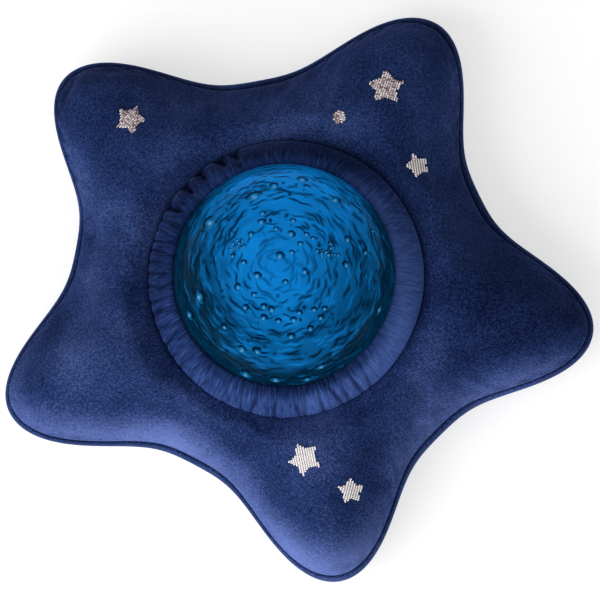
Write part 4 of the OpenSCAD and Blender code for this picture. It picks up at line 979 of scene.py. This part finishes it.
# middles, spread and count of the glitter, whose chances go on from those of the waves
GLITTER, GLITTER_SPREAD, GLITTER_COUNT = ((17.5, 11.0), (-20.5, 14.0)), (2.4, 1.5), 34
for spot in range(GLITTER_COUNT):
    BUBBLES.append((*dome_chance.normal(GLITTER[spot % 2], GLITTER_SPREAD), dome_chance.uniform(0.6, 1.0)))


def dome_seat(x, y):
    """The place on the dome that the camera sees at x and y, its polar angles, and how far it faces us."""
    depth = np.sqrt(DOME_R ** 2 - x * x - y * y)
    p = np.array(right) * x + np.array(up) * y + np.array(back) * depth
    return p, np.arccos(p[2] / DOME_R), np.arctan2(p[1], p[0]), depth / DOME_R


print("bubbles:", len(BUBBLES), "ovals:", len(OVALS))

# %% [markdown]
# Each bubble is a lens, with painted shade on the far side of its edge, where light is bent away, and
# one soft painted highlight on the near side. Geometry Nodes makes one lens from a ball, stores both
# painted tones on it while it is still round, and then flattens it. The ovals use the same nodes with
# other inputs, and a painted highlight over their whole face.

# %% One lens by Geometry Nodes
BRIGHT_SPOT = (-0.45, 0, 0.85)
lens, given, lens_sockets = open_tree("lay bubbles", {
    "Rise": "NodeSocketFloat", "Highlight share": "NodeSocketFloat", "Plastic": "NodeSocketMaterial"})
ball = node(lens, "GeometryNodeMeshUVSphere", {"Segments": 18, "Rings": 12, "Radius": 1.0})
at = node(lens, "GeometryNodeInputPosition").outputs[0]
level_at = node(lens, "ShaderNodeVectorMath", {0: at, 1: (1, 1, 0)}, operation="MULTIPLY")
from_middle = node(lens, "ShaderNodeVectorMath", {0: level_at.outputs[0]}, operation="LENGTH")
edge_ring = node(lens, "ShaderNodeMapRange", {"Value": from_middle.outputs["Value"], 1: 0.2, 2: 0.55})
far_side = node(lens, "ShaderNodeVectorMath", {0: at, 1: (1, 0, 0)}, operation="DOT_PRODUCT")
crescent = node(lens, "ShaderNodeMapRange",
                {"Value": far_side.outputs["Value"], 1: -0.7, 2: 0.3, 3: 0.25, 4: 1.0})
edge_shade = node(lens, "ShaderNodeMath", {0: edge_ring.outputs[0], 1: crescent.outputs[0]},
                 operation="MULTIPLY")
to_spot = node(lens, "ShaderNodeVectorMath", {0: at, 1: BRIGHT_SPOT}, operation="DISTANCE")
spot_highlight = node(lens, "ShaderNodeMapRange",
                 {"Value": to_spot.outputs["Value"], 1: 0.75, 2: 0.15, 3: 0.0, 4: 0.8})
painted_glint = node(lens, "ShaderNodeMath", {0: spot_highlight.outputs[0], 1: given.outputs["Highlight share"]},
                 operation="MAXIMUM")
lined = node(lens, "GeometryNodeStoreNamedAttribute", {
    "Geometry": ball.outputs["Mesh"], "Name": "painted_shade_line", "Value": edge_shade.outputs[0]})
toned = node(lens, "GeometryNodeStoreNamedAttribute", {
    "Geometry": lined.outputs[0], "Name": "glint", "Value": painted_glint.outputs[0]})
squash = node(lens, "ShaderNodeCombineXYZ", {"X": 1.0, "Y": 1.0, "Z": given.outputs["Rise"]})
flat_lens = node(lens, "GeometryNodeTransform", {"Geometry": toned.outputs[0], "Scale": squash.outputs[0]})
size_of = node(lens, "GeometryNodeInputNamedAttribute", {"Name": "size"}, data_type="FLOAT_VECTOR")
close_tree(lens, given, flat_lens.outputs[0], "Plastic", Scale=size_of.outputs["Attribute"])
print("lens inputs:", list(lens_sockets))

# %% [markdown]
# A lens turns to the dome's surface first, and then round its own normal, so that its painted dark edge
# lies away from the front. An oval lies along the rim. Both take the painted tone of the dome below them.

# %% Bubbles and ovals on the dome
SUNK, BUBBLE_GROWTH = 0.1, 1.15
for name, spots, rise, highlight_share in (("dome_bubbles", BUBBLES, 0.3, 0.0), ("dome_ovals", OVALS, 0.12, 0.45)):
    points, turns, sizes, tones = [], [], [], []
    for x, y, long, *wide in spots:
        p, q0, a0, facing_camera = dome_seat(x, y)
        turn_to = (0 if y > 0 else np.pi) if wide else np.pi / 2 - a0 + dome_chance.normal(0, 0.35)
        points.append(((p * (1 - SUNK / DOME_R) + [*axis, RIM_Z]) * MM).tolist())
        to_surface = Matrix(((np.cos(q0) * np.cos(a0), -np.sin(a0), np.sin(q0) * np.cos(a0)),
                             (np.cos(q0) * np.sin(a0), np.cos(a0), np.sin(q0) * np.sin(a0)),
                             (-np.sin(q0), 0, np.cos(q0))))
        turns.append((to_surface @ Matrix.Rotation(turn_to, 3, "Z")).to_euler())
        long *= 1 if wide else BUBBLE_GROWTH
        short = wide[0] / facing_camera if wide else long * dome_chance.uniform(0.75, 1.0)
        sizes.append([short * MM, long * MM, min(short, long) * MM])
        tones.append(painted_depth_shading(q0, a0))
    drops = lay_copies(name, lens, lens_sockets, points, {"turn": turns, "size": sizes, "rim": tones},
                       {"Rise": rise, "Highlight share": highlight_share, "Plastic": blue_plastic})
    finish_piece(drops, "projector", (), "blue_dome")

# %% [markdown]
# The rigid pieces keep their CAD shape and only get a finish. Nearly all of them are moulded, plated or
# pressed, and differ in colour, gloss and grain. So one material with those inputs serves them all, and
# a table says which piece has which. A grain finer than half a millimetre would not show.

# %% Finish of a moulded piece
CLOUD_MM = 30


def moulded(name, color, roughness, grain_mm, depth_mm, **sockets):
    """Fine grain in the bump and the gloss, and a slight change of tone over a few centimetres."""
    mat, tree, shader = new_material(name, color, roughness, **sockets)
    place = node(tree, "ShaderNodeTexCoord").outputs["Object"]
    grain = node(tree, "ShaderNodeTexNoise", {"Vector": place, "Scale": 1 / (grain_mm * MM), "Detail": 2.0})
    cloud = node(tree, "ShaderNodeTexNoise", {"Vector": place, "Scale": 1 / (CLOUD_MM * MM), "Detail": 2.0})
    base = linear(color)
    ramp = node(tree, "ShaderNodeValToRGB", {"Fac": cloud.outputs[0]},
                stops=((0.25, [c * 0.9 for c in base[:3]] + [1]), (0.75, base)))
    tree.links.new(ramp.outputs[0], shader.inputs["Base Color"])
    rough = node(tree, "ShaderNodeMapRange",
                 {"Value": grain.outputs[0], 3: roughness - 0.06, 4: roughness + 0.08})
    tree.links.new(rough.outputs[0], shader.inputs["Roughness"])
    bump = node(tree, "ShaderNodeBump",
                {"Height": grain.outputs[0], "Strength": 0.4, "Distance": depth_mm * MM})
    tree.links.new(bump.outputs[0], shader.inputs["Normal"])
    return mat


print("tone changes over", CLOUD_MM, "mm")

# %% [markdown]
# The shells are ABS with a spark-eroded grain, the gears are acetal, the boards are glass-fibre laminate
# and the fasteners are steel. The deck below the dome is painted near black, as shade inside the dome, so
# that the dome looks as deep as it does in the photograph.

# %% Finishes of the rigid pieces
METAL = {"Metallic": 1.0}
# name, colour, roughness, grain and its depth in mm, other sockets, and the pieces
FINISHES = (
    # spark-eroded shells: an even satin white
    ("white ABS", "#e4e8ec", 0.42, 0.9, 0.06, {}, ("base_shell", "dome_ring", "battery_door")),
    # the same grain in near black, painted shade under the dome
    ("dark ABS", "#1c2126", 0.5, 0.9, 0.06, {}, ("deck",)),
    # slippery gear plastic: creamy and a little waxy
    ("acetal", "#f1f1ec", 0.3, 1.2, 0.02, {}, ("lens_gear", "motor_pinion", "thrust_washer")),
    # a polished mould: bright, with a wet gloss
    ("glossy white ABS", "#f6f8f8", 0.16, 2.0, 0.01, {}, ("light_reflector",)),
    # soft keys: dull blue
    ("blue silicone", "#3d6fb6", 0.55, 0.8, 0.05, {}, ("light_button", "sound_button", "power_slider")),
    # matt and dusty grey
    ("grey rubber", "#3a3d42", 0.8, 0.7, 0.1, {}, ("rubber_feet",)),
    # open pores that swallow light
    ("black foam", "#24262a", 0.95, 0.6, 0.3, {}, ("dome_gasket", "speaker_gasket")),
    # green mask over a weave, slightly glossy, and the same in white
    ("green laminate", "#1f6b45", 0.35, 0.7, 0.03, {}, ("control_board", "switch_board")),
    ("white laminate", "#eef0ee", 0.35, 0.7, 0.03, {}, ("led_board",)),
    # moulded chips and switches: black satin
    ("black epoxy", "#17181a", 0.4, 0.6, 0.02, {}, ("board_parts", "tact_switches")),
    # cast lamps: pale yellow and glassy
    ("lamp resin", "#f4e9b8", 0.2, 0.8, 0.01, {}, ("leds",)),
    # pressed pulp: dull, with a coarse tooth
    ("speaker paper", "#2b2c2e", 0.9, 0.5, 0.15, {}, ("speaker_cone",)),
    # sintered magnet: dark and gritty
    ("ferrite", "#3b3b3d", 0.6, 0.6, 0.06, {}, ("speaker_magnet",)),
    # shrunk film: smooth green with a soft gloss
    ("shrink sleeve", "#2f7d4a", 0.25, 1.5, 0.02, {}, ("battery_cells",)),
    # zinc is a cool grey metal with a soft mirror, and nickel a warmer and brighter one
    ("zinc-plated steel", "#b9bcc0", 0.3, 0.5, 0.02, METAL,
     ("lens_spindle", "motor_shaft", "motor_screws", "board_screws", "drive_motor", "speaker_frame",
      "door_screw", "housing_screws", "slide_switch")),
    ("nickel-plated steel", "#c9c6bd", 0.25, 0.5, 0.02, METAL, ("battery_contacts",)),
    # clear moulding: colourless, and bends what lies below it
    ("clear acrylic", "#f2fafc", 0.08, 3.0, 0.02, {"IOR": 1.49, "Transmission Weight": 1.0}, ("wave_lens",)),
)
for *looks, sockets, names in FINISHES:
    mat = moulded(*looks, **sockets)
    for name in names:
        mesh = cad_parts[name].data
        mesh.materials.clear()
        mesh.materials.append(mat)
print("finishes:", len(FINISHES), "on", sum(len(row[-1]) for row in FINISHES), "nodes")
